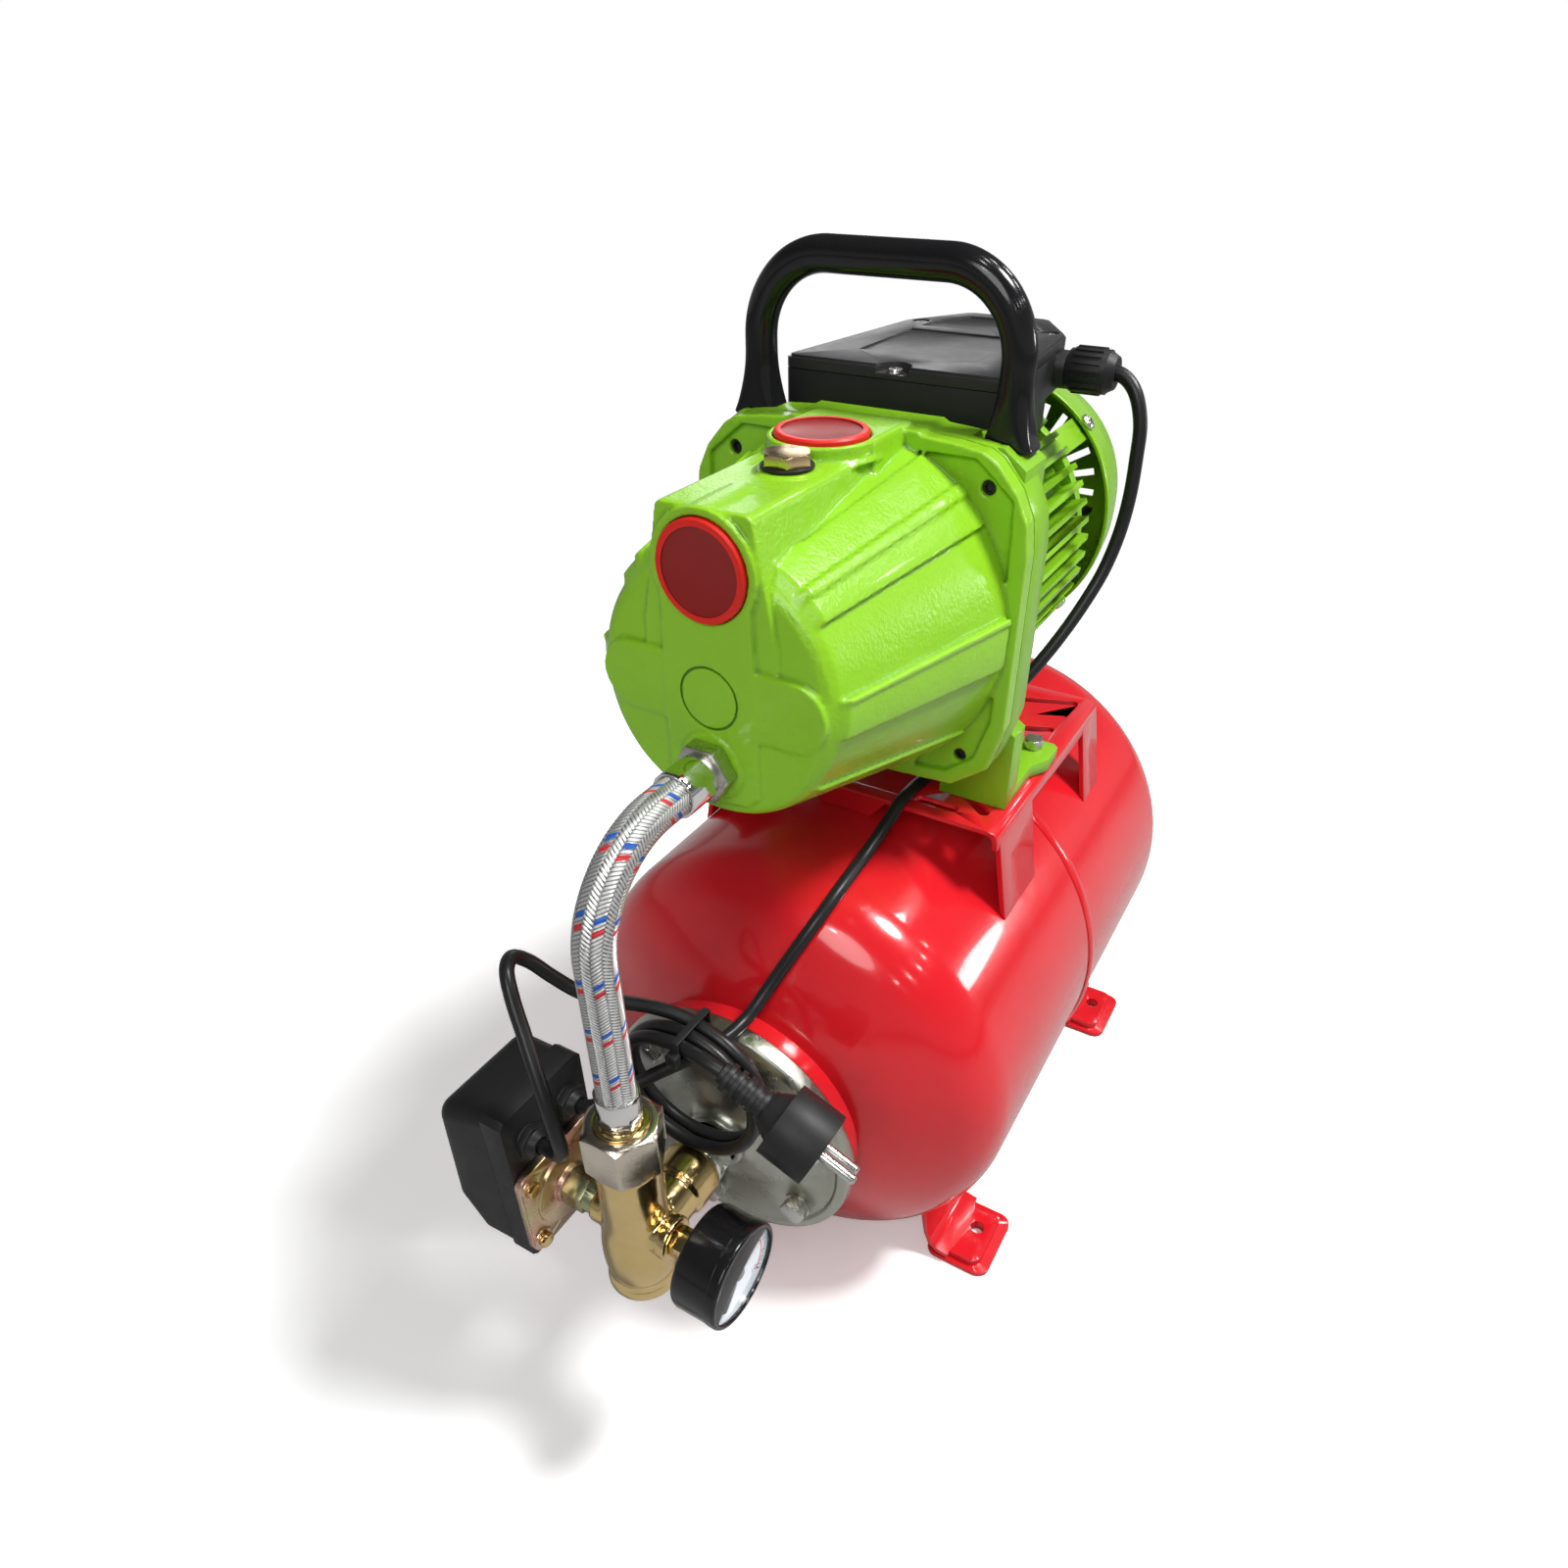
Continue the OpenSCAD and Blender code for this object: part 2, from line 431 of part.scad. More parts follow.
module impeller() { color("tan") difference() {
    union() {
        rod_y(flange_f - 16, flange_f - 14.5, cavity_r - 3, shaft_z);
        rod_y(flange_f - 6, flange_f - 4, cavity_r - 3, shaft_z);
        rod_y(flange_f - 16, flange_f - 2, 13, shaft_z);
        for (a = [0:60:300]) translate([0, flange_f - 15, shaft_z]) rotate([0, -a, 0])
            translate([16, 0, 0]) rotate([0, 22, 0]) cube([37, 10, 2]);
    }
    rod_y(flange_f - 17, flange_f - 13, 11, shaft_z);
    rod_y(flange_f - 17, flange_f, shaft_r + 0.05, shaft_z);
} }
module shaft_seal() { color("black") difference() {
    union() {
        rod_y(joint_y - 1.5, joint_y + 9.5, 15.7, shaft_z);
        rod_y(joint_y - 6, joint_y, 13, shaft_z);
    }
    rod_y(joint_y - 8, joint_y + 12, shaft_r + gap, shaft_z);
} }
module pump_bolts() { color("gray") both_sides() for (z = [-ear_z, ear_z])
    translate([ear_x, flange_f + ear_sink + 2.3, shaft_z + z]) rotate([90, 0, 0]) difference() {
        union() {
            translate([0, 0, -3]) cylinder(r = 3.1, h = 3.2);
            translate([0, 0, -16]) cylinder(r = 3.1, h = 14);
        }
        translate([0, 0, -2.2]) hex(4, 3);
    }
}

// ---------- motor ----------
module motor_bracket() { color("yellowgreen") difference() {
    union() {
        wall_y(joint_y, joint_y + ring_t) translate([0, shaft_z]) difference() {
            polygon(flange_shape);
            circle(r = 55);
        }
        rod_y(joint_y, joint_y + 9, 60, shaft_z);
        rod_y(joint_y + ring_t - 4, frame_y - gap, 66, shaft_z);
        wall_y(joint_y, frame_y - gap) difference() {
            translate([0, shaft_z]) circle(r = 25);
        }
        rod_y(joint_y, frame_y + 5, 24, shaft_z);
        rod_y(frame_y - 1, frame_y + 4, bore_r - gap, shaft_z);
        wall_y(joint_y + 2, joint_y + ring_t + 9 - gap) both_sides()
            polygon([[46, shaft_z + 40], [77, shaft_z + 55], [77, shaft_z + 72], [66, shaft_z + 80],
                [46, shaft_z + 80]]);
        wall_y(joint_y + ring_t - 1, joint_y + ring_t + panel_t) both_sides()
            polygon([[0, top_z + 20], [46, top_z + 20], [46, top_z + gap], [84, top_z + gap],
                [84, top_z + 44], [60, top_z + 60], [0, top_z + 60]]);
        both_sides() translate([0, 0, top_z + gap]) linear_extrude(7.5) polygon([[48,
            joint_y + ring_t - 1],
            [84, joint_y + ring_t - 1], [84, -36], [90, -24], [90, -9], [87, -6], [70, -6], [66, -9],
            [62, -34], [48, -50]]);
    }
    translate([0, 0, shaft_z]) rotate([-90, 0, 0]) translate([0, 0, frame_y - gap]) difference() {
        cylinder(r = fin_r + 0.6, h = 60);
        translate([0, 0, -1]) cylinder(r = bore_r - gap, h = 6 + gap);
    }
    rod_y(joint_y - 1, joint_y + 10.5, 16, shaft_z);
    rod_y(joint_y, frame_y + 6, 12, shaft_z);
    rod_y(frame_y - 7.3, frame_y + 6, bearing[0] + gap, shaft_z);
    both_sides() translate([49.5, joint_y + 7.5, shaft_z + 76]) cube([40, 40, 20]);
    both_sides() for (z = [-ear_z, ear_z]) rod_y(joint_y - 1, joint_y + 14, 3.4, shaft_z + z, ear_x);
    both_sides() translate([77.5, -15, top_z]) cylinder(r = 3.6, h = 12);
} }
module foot_bolts() { color("gainsboro") both_sides() translate([77.5, -15, top_z + gap + 7.5]) {
    translate([0, 0, 0.1]) hex_bolt(10, 5.5, 6.4, 20);
    difference() {
        translate([0, 0, -7.5 - gap - sheet_t - 6]) hex(10, 5.8);
        translate([0, 0, -30]) cylinder(r = 3.3, h = 24);
    }
} }
module motor_frame() { color("yellowgreen") difference() {
    union() {
        rod_y(frame_y, frame_end, core_r, shaft_z, $fn = 96);
        for (i = [0:fin_count - 1]) let (a = 360 * (i + 0.5) / fin_count)
            if (abs(a - 90) > 20) translate([0, frame_y, shaft_z]) rotate([0, -a, 0])
                translate([core_r - 2, 0, -1.5]) cube([fin_r - core_r + 2, frame_len, 3]);
        translate([-20, frame_y + 20, shaft_z + core_r - 8]) cube([40, frame_len - 36, 22.7]);
        for (a = [45:90:315]) rod_y(frame_y, frame_end, 5.5,
            shaft_z + (core_r + 4) * sin(a), (core_r + 4) * cos(a));
    }
    rod_y(frame_y - 1, frame_end + 1, bore_r, shaft_z, $fn = 96);
    translate([0, frame_y + 50, shaft_z]) cylinder(r = 7, h = 120);
    for (a = [45:90:315]) rod_y(frame_end - 20, frame_end + 1, 2.2,
        shaft_z + (core_r + 4) * sin(a), (core_r + 4) * cos(a));
} }
module stator() { color("slategray") difference() {
    rod_y(frame_y + 33, frame_y + 93, bore_r - gap, shaft_z, $fn = 96);
    rod_y(frame_y + 32, frame_y + 94, 28, shaft_z);
    for (a = [0:20:340]) translate([0, frame_y + 32, shaft_z]) rotate([0, -a, 0])
        translate([25, 0, -1.5]) cube([14, 62, 3]);
} }
module windings() { color("chocolate") for (y = [frame_y + 21.7, frame_y + 93.3]) to_y([0, y, shaft_z])
    rotate_extrude() polygon([[33, 0], [43, 0], [46, 3], [46, 8], [43, 11], [33, 11], [30, 8], [30, 3]]); }
module rotor() { color("lightgray") union() {
    rod_y(flange_f - 18, cover_y + 20, shaft_r, shaft_z);
    rod_y(frame_y + 33, frame_y + 93, 27.5, shaft_z);
    rod_y(frame_y + 10, frame_y + 96, 11, shaft_z);
    for (y = [frame_y + 27, frame_y + 92]) rod_y(y, y + 7, 24, shaft_z);
} }
module bearings() { color("silver") for (y = [frame_y - 7, frame_end + 4]) to_y([0, y, shaft_z])
    rotate_extrude() polygon([[shaft_r + gap, 0], [11.2, 0], [11.2, 0.8], [14.4, 0.8], [14.4, 0],
        [bearing[0], 0],
        [bearing[0], bearing[1]], [14.4, bearing[1]], [14.4, bearing[1] - 0.8], [11.2, bearing[1] - 0.8],
        [11.2, bearing[1]], [shaft_r + gap, bearing[1]]]);
}
module end_shield() { color("yellowgreen") difference() {
    union() {
        to_y([0, frame_end + gap, shaft_z]) rotate_extrude($fn = 72) polygon([[0, -4], [bore_r - gap, -4],
            [bore_r - gap, 0], [core_r + 6, 0], [core_r + 6, 7], [core_r, 12], [core_r - 18, 20],
                [0, 20]]);
        for (a = [45:90:315]) translate([0, frame_end + 0.5, shaft_z]) rotate([0, -a, 0])
            translate([core_r - 14, 0, -7]) cube([fin_r - 3.3 - core_r + 14,
                cover_y - frame_end + 8.5, 14]);
    }
    to_y([0, frame_end - 5, shaft_z]) rotate_extrude() polygon([[0, 0], [bore_r - 5, 0], [bore_r - 5, 5],
        [30, 14], [0, 14]]);
    rod_y(frame_end - 5, frame_end + 15.3, bearing[0] + gap, shaft_z);
    rod_y(frame_end, frame_end + 30, 10, shaft_z);
    rod_y(frame_end + 21, cover_y + 20, 60, shaft_z);
    for (a = [45:90:315]) translate([0, cover_y + 4.5, shaft_z]) rotate([0, 90 - a, 0])
        translate([0, 0, 56]) cylinder(r = 2.3, h = 30);
} }
module fan() { color("black") difference() {
    union() {
        rod_y(cover_y + 4, cover_y + 26, 13, shaft_z);
        rod_y(cover_y + 4, cover_y + 6.5, 46, shaft_z);
        for (a = [0:40:320]) translate([0, cover_y + 4, shaft_z]) rotate([0, -a, 0])
            translate([12, 0, -1.2]) cube([46, 21, 2.4]);
    }
    rod_y(cover_y + 3, cover_y + 20.5, shaft_r + 0.05, shaft_z);
} }
module fan_cover() { color("yellowgreen") difference() {
    to_y([0, cover_y, shaft_z]) rotate_extrude($fn = 96) polygon([[fin_r - 1.6, 0], [fin_r, 0],
        [fin_r + 0.2, 3],
        [fin_r - 1, 12], [fin_r - 3, 25], [fin_r - 6, 38], [fin_r - 8.5, cover_len - 9],
            [fin_r - 12, cover_len - 3.5],
        [fin_r - 17, cover_len - 0.6], [fin_r - 20, cover_len], [0, cover_len], [0, cover_len - 1.8],
        [fin_r - 21, cover_len - 1.8], [fin_r - 15, cover_len - 4], [fin_r - 10.5, cover_len - 9.5],
        [fin_r - 8, 37.5], [fin_r - 5, 24.5], [fin_r - 2.8, 12]]);
    for (a = [0:15:345]) translate([0, cover_end - 4, shaft_z]) rotate([0, -a, 0]) {
        translate([34, 0, -2]) cube([15, 6, 4]);
        if (a % 30 == 0) translate([14, 0, -2]) cube([16, 6, 4]);
    }
    for (a = [45:90:315]) translate([0, cover_y + 4.5, shaft_z]) rotate([0, 90 - a, 0])
        translate([0, 0, 60]) cylinder(r = 2.6, h = 20);
} }
module cover_screws() { color("silver") for (a = [45:90:315])
    translate([0, cover_y + 4.5, shaft_z]) rotate([0, 90 - a, 0]) translate([0, 0,
        fin_r + 0.3]) difference() {
        union() {
            intersection() { cylinder(r = 4.6, h = 2.8); translate([0, 0, -4.4]) sphere(r = 7.2); }
            translate([0, 0, -13]) cylinder(r = 2, h = 14);
        }
        for (t = [0, 90]) rotate([0, 0, t]) translate([-2.6, -0.5, 1.3]) cube([5.2, 1, 4]);
    }
}
box_plan = both([[0, -62.9], [54, -62.9], [56, -60.9], [44.5, 46], [43, 49], [24, 81], [20, 83], [0, 83]]);
box_screws = [[0, -59], [-36, 46], [36, 46]];
module box_slab(z0, z1, s = 1) { translate([0, 0, z0]) linear_extrude(z1 - z0) scale([s,
    s]) polygon(box_plan); }
module terminal_box() { color("black") difference() {
    union() {
        box_slab(shaft_z + 77, box_z[0]);
        intersection() {
            box_slab(shaft_z + 56, shaft_z + 80, 0.94);
            translate([-60, -70, shaft_z]) cube([120, 100, 100]);
        }
        rod_x(30, motor_gland[0] - gap, 9.5, motor_gland[1], motor_gland[2]);
    }
    rod_y(-80, frame_end + 2, fin_r + 0.6, shaft_z, $fn = 96);
    rod_y(frame_end + 1, 120, core_r + 8, shaft_z, $fn = 72);
    rod_y(cover_y - 2, 120, fin_r + 1.2, shaft_z, $fn = 72);
    translate([0, 0, shaft_z + 80]) difference() {
        linear_extrude(40) scale([0.93, 0.93]) polygon(box_plan);
        for (s = box_screws) translate([s[0] * 0.9, s[1] * 0.92, -1]) cylinder(r = 6, h = 50);
    }
    translate([-20.5, frame_y + 19.5, shaft_z + 60]) cube([41, frame_len - 35, 17 - 0.0]);
    translate([0, frame_y + 50, shaft_z + 60]) cylinder(r = 8, h = 30);
    rod_x(30, motor_gland[0] + 1, 6, motor_gland[1], motor_gland[2]);
    translate([0, 0, box_z[0]]) translate([-70, -80, 0]) cube([140, 180, 30]);
    for (s = box_screws) translate([s[0], s[1], box_z[0] - 12]) cylinder(r = 1.8, h = 14);
} }
module terminal_lid() { color("dimgray") difference() {
    union() {
        box_slab(box_z[0] + gap, box_z[1] - 1.2);
        box_slab(box_z[1] - 1.3, box_z[1], 0.98);
    }
    box_slab(box_z[0] - 2, box_z[0] + 2, 0.92);
    translate([-31, -36, box_z[1] - 0.8]) cube([62, 60, 3]);
    translate([0, 0, box_z[1] - 0.8]) linear_extrude(3)
        polygon([[-30, 34], [30, 34], [30, 48], [17, 70], [-17, 70], [-30, 48]]);
    for (s = box_screws) translate([s[0], s[1], box_z[0] - 1]) cylinder(r = 2.1, h = 20);
    translate([0, -61.5, box_z[1] - 3.6]) cylinder(r = 8.5, h = 6);
    both_sides() translate([36, 46, box_z[1] - 2.6]) cylinder(r = 4.6, h = 6);
} }
module lid_screws() { color("silver") for (s = box_screws)
    translate([s[0], s[1], box_z[1] - (s[0] == 0 ? 3.5 : 2.5)]) difference() {
        union() {
            cylinder(r1 = 3.8, r2 = 3.2, h = 1.9);
            translate([0, 0, -11]) cylinder(r = 1.6, h = 12);
        }
        for (t = [0, 90]) rotate([0, 0, t + 20]) translate([-2.2, -0.45, 1]) cube([4.4, 0.9, 3]);
    }
}
module cord_gland() { color("black") translate(motor_gland) rotate([0, 90, 0]) difference() {
    union() {
        cylinder(r = 9.5, h = 3);
        translate([0, 0, 2]) cylinder(r = 10.2, h = 18);
        for (a = [0:20:340]) rotate([0, 0, a]) translate([8.5, -1, 3.2]) cube([2.5, 2, 14]);
        translate([0, 0, 19]) cylinder(r1 = 10.2, r2 = 7.5, h = 5);
    }
    translate([0, 0, 20]) cylinder(r = cord_r + gap, h = 10);
    translate([0, 0, -1]) cylinder(r = 3, h = 30);
} }
bar_z = shaft_z + handle_h;
leg_at = handle_w / 2;
bend_r = 35;
module handle() { color("black") translate([0, joint_y + 17, 0]) union() {
    translate([-leg_at + bend_r, 0, bar_z]) rotate([0, 90, 0]) cylinder(d = handle_d,
        h = 2 * (leg_at - bend_r));
    both_sides() {
        translate([leg_at - bend_r, 0, bar_z - bend_r]) rotate([90, 0, 0])
            rotate_extrude(angle = 90) translate([bend_r, 0]) circle(d = handle_d);
        translate([leg_at, 0, shaft_z + 80]) cylinder(d = handle_d, h = bar_z - bend_r - shaft_z - 80);
        wall_y(-8.2, 8.2) polygon([[leg_at - 12, shaft_z + 76 + gap], [leg_at + 13, shaft_z + 76 + gap],
            [leg_at + 11.2, shaft_z + 83], [leg_at + 8.6, shaft_z + 93], [leg_at + 7.2, shaft_z + 106],
            [leg_at - 7.2, shaft_z + 106], [leg_at - 8.2, shaft_z + 93], [leg_at - 10.4, shaft_z + 83]]);
        wall_y(-2.5, 2.5) polygon([[leg_at - 12, shaft_z + 84], [leg_at, shaft_z + 84],
            [leg_at, bar_z - bend_r],
            [leg_at - 9, bar_z - bend_r - 4], [leg_at - 10, shaft_z + 97]]);
    }
} }

// ---------- hose and fittings ----------
module way(z) { translate([0, way_y, z]) children(); }
module hose_nut() { color("silver") difference() {
    union() {
        to_y([0, face_y - 12, hose_z]) hex(24, 8 - gap);
        rod_y(face_y - 5, face_y + 12, 8.5, hose_z);
    }
    rod_y(face_y - 13, face_y + 13, 5, hose_z);
    to_y([0, face_y - 13, hose_z]) difference() {
        cylinder(r = 20, h = 3);
        translate([0, 0, -6]) cylinder(r1 = 0, r2 = 24, h = 12);
    }
} }
module sleeve() { difference() {
    union() {
        cylinder(r = 9.2, h = 4);
        translate([0, 0, 2]) intersection() { // pressed to eight flats
            rotate([0, 0, 22.5]) cylinder(r = 11.2, h = 17, $fn = 8);
            rotate_extrude() polygon([[0, 0], [9.4, 0], [10.8, 1.4], [10.8, 15.6], [10.2, 17], [0, 17]]);
        }
    }
    translate([0, 0, -1]) cylinder(r = 4.5, h = 20);
    translate([0, 0, 4]) cylinder(r = hose_d / 2 + 0.05, h = 20);
} }
module hose_sleeves() { color("gainsboro") {
    translate([0, face_y - 12.1, hose_z]) rotate([90, 0, 0]) sleeve();
    way(union_z[1] + 1) sleeve();
} }
module hose() { color("lightgray") union() {
    rod_y(way_y + hose_bend, face_y - 16.2, hose_d / 2, hose_z);
    translate([0, way_y + hose_bend, hose_z - hose_bend]) rotate([90, 0, -90])
        rotate_extrude(angle = 90) translate([hose_bend, 0]) circle(d = hose_d);
    way(union_z[1] + 5.1) cylinder(d = hose_d, h = hose_z - hose_bend - union_z[1] - 5.1);
} }
module union_nut() { color("silver") way(union_z[0]) difference() {
    intersection() {
        hex(union_af, union_z[1] - union_z[0]);
        cylinder(r1 = union_af / 2 + 0.6, r2 = union_af / 2 + 12, h = 20);
        cylinder(r1 = union_af / 2 + 26, r2 = union_af / 2 - 0.6,
            h = union_z[1] - union_z[0]);
    }
    translate([0, 0, -1]) cylinder(r = 14.2, h = 20);
    cylinder(r = 13, h = 40);
} }
module hose_tail() { color("goldenrod") way(0) difference() {
    union() {
        translate([0, 0, neck_top + gap]) cylinder(r = 12.7, h = union_z[1] + 0.9 - neck_top - gap);
        translate([0, 0, neck_top + gap]) cylinder(r = 12.9, h = 3);
    }
    translate([0, 0, neck_top - 5]) cylinder(r = 6, h = 40);
} }
module five_way() { color("goldenrod") difference() {
    union() {
        way(0) rotate_extrude($fn = 72) polygon([[0, outlet_z], [18, outlet_z], [18.7, outlet_z + 0.7],
            [18.7, outlet_z + 5.6], [18, outlet_z + 6.6], [17.3, outlet_z + 7.4],
            [17.2, outlet_z + 10], [17.9, outlet_z + 13], [18.6, outlet_z + 17],
            [19, outlet_z + 22], [19.1, axis_z - 4], [18.9, axis_z + 2], [18.2, axis_z + 8],
            [17.2, axis_z + 13], [16.4, axis_z + 18], [16.2, axis_z + 24], [16.2, union_z[0] - 1],
            [13.9, union_z[0]], [13.9, neck_top], [0, neck_top]]);
        rod_y(way_y, way_y + 30, 15.2, axis_z);
        rod_y(way_y + 30, way_y + 48, 17, axis_z);
        rod_x(0, 24, 10.6, way_y, side_z);
        rod_x(-22, 0, 11.2, way_y, side_z);
        to_x([19, way_y, side_z]) cylinder(r = 11.4, h = 5);
    }
    way(outlet_z - 1) cylinder(r = port_r, h = 19);
    way(outlet_z) cylinder(r = 11.5, h = 160);
    rod_y(way_y, way_y + 49, 10, axis_z);
    rod_y(way_y + 31, way_y + 49, 13.3, axis_z);
    rod_x(0, 25, 4, way_y, side_z);
    rod_x(16, 25, 5, way_y, side_z);
    rod_x(-23, 0, 4, way_y, side_z);
    rod_x(-23, -14, 6.3, way_y, side_z);
} }
nip_y = [way_y + 31.3, flange_y + 2];
module tank_nipple() { color("silver") difference() {
    union() {
        rod_y(nip_y[0], nip_y[1] + 8, 13, axis_z);
        to_y([0, way_y + 48.3, axis_z]) rotate_extrude() polygon([[0, 0], [14.6, 0], [15.6, 1],
            [15.6, 5], [14.6, 6], [0, 6]]);
        to_y([0, way_y + 54, axis_z]) intersection() {
            hex(27, flange_y - 11.3 - way_y - 54);
            cylinder(r1 = 14.2, r2 = 19, h = 7);
        }
    }
    rod_y(nip_y[0] - 1, nip_y[1] + 10, 9.5, axis_z);
} }
module gauge_stem() { color("goldenrod") difference() {
    union() {
        to_x([24 + gap, way_y, side_z]) hex(14, gauge_x - 24 - 2 * gap);
        rod_x(17, 26, 4.7, way_y, side_z);
    }
    rod_x(16, gauge_x + 1, 2, way_y, side_z);
} }
module gauge_case() { color("black") difference() {
    to_x([gauge_x, way_y, side_z]) rotate_extrude($fn = 72) polygon([[0, 0], [gauge_r - 3.5, 0],
        [gauge_r - 1.2, 1],
        [gauge_r - 0.4, 3], [gauge_r - 0.4, gauge_depth - 6], [gauge_r, gauge_depth - 5.4],
        [gauge_r, gauge_depth - 1.2], [gauge_r - 0.8, gauge_depth], [gauge_r - 2.5, gauge_depth],
        [gauge_r - 2.5, gauge_depth - 5], [gauge_r - 3, gauge_depth - 5], [gauge_r - 3, 4], [0, 4]]);
    rod_x(gauge_x - 1, gauge_x + 6, 2, way_y, side_z);
} }
module gauge_dial() { color("white") difference() {
    rod_x(gauge_x + gauge_depth - 5 + 0.02, gauge_x + gauge_depth - 4.2, gauge_r - 2.8, way_y, side_z);
    rod_x(gauge_x, gauge_x + 40, 1.3, way_y, side_z);
} }
module gauge_needle() { color("black") union() {
    rod_x(gauge_x + gauge_depth - 7, gauge_x + gauge_depth - 2.6, 1, way_y, side_z);
    rod_x(gauge_x + gauge_depth - 3.7, gauge_x + gauge_depth - 2.5, 3, way_y, side_z);
    translate([gauge_x + gauge_depth - 3.6, way_y, side_z]) rotate([-135, 0, 0]) rotate([0, 90, 0])
        linear_extrude(0.6) polygon([[1.3, -10], [1.8, -7], [1.1, 0], [0.4, 18.5], [-0.4, 18.5],
            [-1.1, 0], [-1.8, -7], [-1.3, -10]]);
} }
module gauge_glass() { color("lightblue")
    rod_x(gauge_x + gauge_depth - 2.2, gauge_x + gauge_depth - 1.2, gauge_r - 2.8, way_y, side_z); }

// ---------- pressure switch ----------
module at_switch(y = 0, z = 0) { translate([base_x, way_y + y, side_z + 15.5 + z]) children(); }
module switch_nut() { color("darkkhaki") difference() {
    union() {
        to_x([-39.7, way_y, side_z]) hex(18.5, 12);
        rod_x(-30, -22 - gap, 9.2, way_y, side_z);
        rod_x(-26, -15, 6, way_y, side_z);
    }
    rod_x(-45, -10, 3, way_y, side_z);
} }
module switch_flange() { color("rosybrown") difference() {
    union() {
        translate([base_x + gap, way_y, side_z]) rotate([0, 90, 0]) {
            round_plate(58, 58, 7, 4);
            translate([0, 0, 3.5]) cylinder(r = 22, h = 2.5);
            for (a = [-1, 1], b = [-1, 1]) translate([20.5 * a, 23 * b, 3.5]) cylinder(r = 5.5, h = 1.6);
        }
        rod_x(base_x + 2, -40, 11, way_y, side_z);
    }
    rod_x(base_x - 1, -35, 3, way_y, side_z);
    for (a = [-1, 1], b = [-1, 1]) rod_x(base_x - 1, -40, 2.4, way_y + 23 * b, side_z + 20.5 * a);
} }
module switch_bolts() { color("goldenrod") for (a = [-1, 1], b = [-1, 1])
    to_x([base_x + gap + 5.1, way_y + 23 * b, side_z + 20.5 * a]) hex_bolt(7, 3.2, 4.2, 12); }
module switch_base() { color("black") difference() {
    union() {
        at_switch() wall_x(-13, 0) polygon([[-28, -48], [-25, -51], [25, -51], [28, -48], [28, 49],
            [25, 52],
            [-25, 52], [-28, 49]]);
        for (y = [-gland_y, gland_y]) to_x([base_x - 1, way_y + y, gland_z]) cylinder(r = 7.6, h = 2);
    }
    at_switch() wall_x(-15, -2.5) square([50, 96], center = true);
    for (a = [-1, 1], b = [-1, 1]) rod_x(base_x - 8, base_x + 1, 2.4, way_y + 23 * b, side_z + 20.5 * a);
    for (y = [-gland_y, gland_y]) rod_x(base_x - 5, base_x + 3, 3, way_y + y, gland_z);
    rod_x(base_x - 5, base_x + 1, 3, way_y, side_z);
} }
module switch_cover() { color("black") difference() {
    at_switch() hull() for (y = [-22, 22]) {
        for (z = [-43, 44]) to_x([-35, y, z]) translate([0, 0, 21.7]) cylinder(r = 6, h = 0.1, $fn = 32);
        translate([-33, y, 38]) sphere(r = 9, $fn = 32);
        translate([-36, y, -20]) sphere(r = 9, $fn = 32);
        translate([-27, y, -39]) sphere(r = 8, $fn = 32);
    }
    at_switch() wall_x(-34, -10) square([48, 80], center = true);
    at_switch() translate([-60, 0, 12]) rotate([0, 90, 0]) cylinder(r = 5, h = 18);
} }
module switch_glands() { color("black") for (y = [-gland_y, gland_y])
    to_x([base_x + 1 + gap, way_y + y, gland_z]) difference() {
        union() {
            hex(16, 4);
            translate([0, 0, 3]) cylinder(r1 = 7.4, r2 = 5.4, h = 5);
        }
        translate([0, 0, switch_x - 4 - base_x - 1 - gap]) cylinder(r = cord_r + gap, h = 10);
        translate([0, 0, -1]) cylinder(r = 2.5, h = 12);
    }
}

// ---------- cords ----------
sides = 10;
function unit(v) = v / norm(v);
function along(p, i) = unit(p[min(i + 1, len(p) - 1)] - p[max(i - 1, 0)]);
// a side direction at each point, carried along without twist
function carry(p, u, i = 0) = i == len(p) ? [] : let (t = along(p, i), w = unit(u - (u * t) * t))
    concat([w], carry(p, w, i + 1));
module cord(p, u) {
    n = len(p);
    w = carry(p, u);
    polyhedron(points = [for (i = [0:n - 1], k = [0:sides - 1]) let (t = along(p, i), a = 360 * k / sides)
            p[i] + cord_r * (cos(a) * w[i] + sin(a) * cross(t, w[i]))],
        faces = concat([[for (k = [sides - 1:-1:0]) k]], [[for (k = [0:sides - 1]) (n - 1) * sides + k]],
            [for (i = [0:n - 2],
                k = [0:sides - 1]) let (a = i * sides + k, b = i * sides + (k + 1) % sides)
                [a, b, b + sides]], [for (i = [0:n - 2], k = [0:sides - 1])
                let (a = i * sides + k, b = i * sides + (k + 1) % sides) [a, b + sides, a + sides]]));
}
module motor_cord() { color("black") cord([for (p = motor_route) follow(p)], [0, 1, 0]); }
module mains_cord() { color("black") cord([for (p = mains_route) p + fit_shift], [0, 1, 0]); }
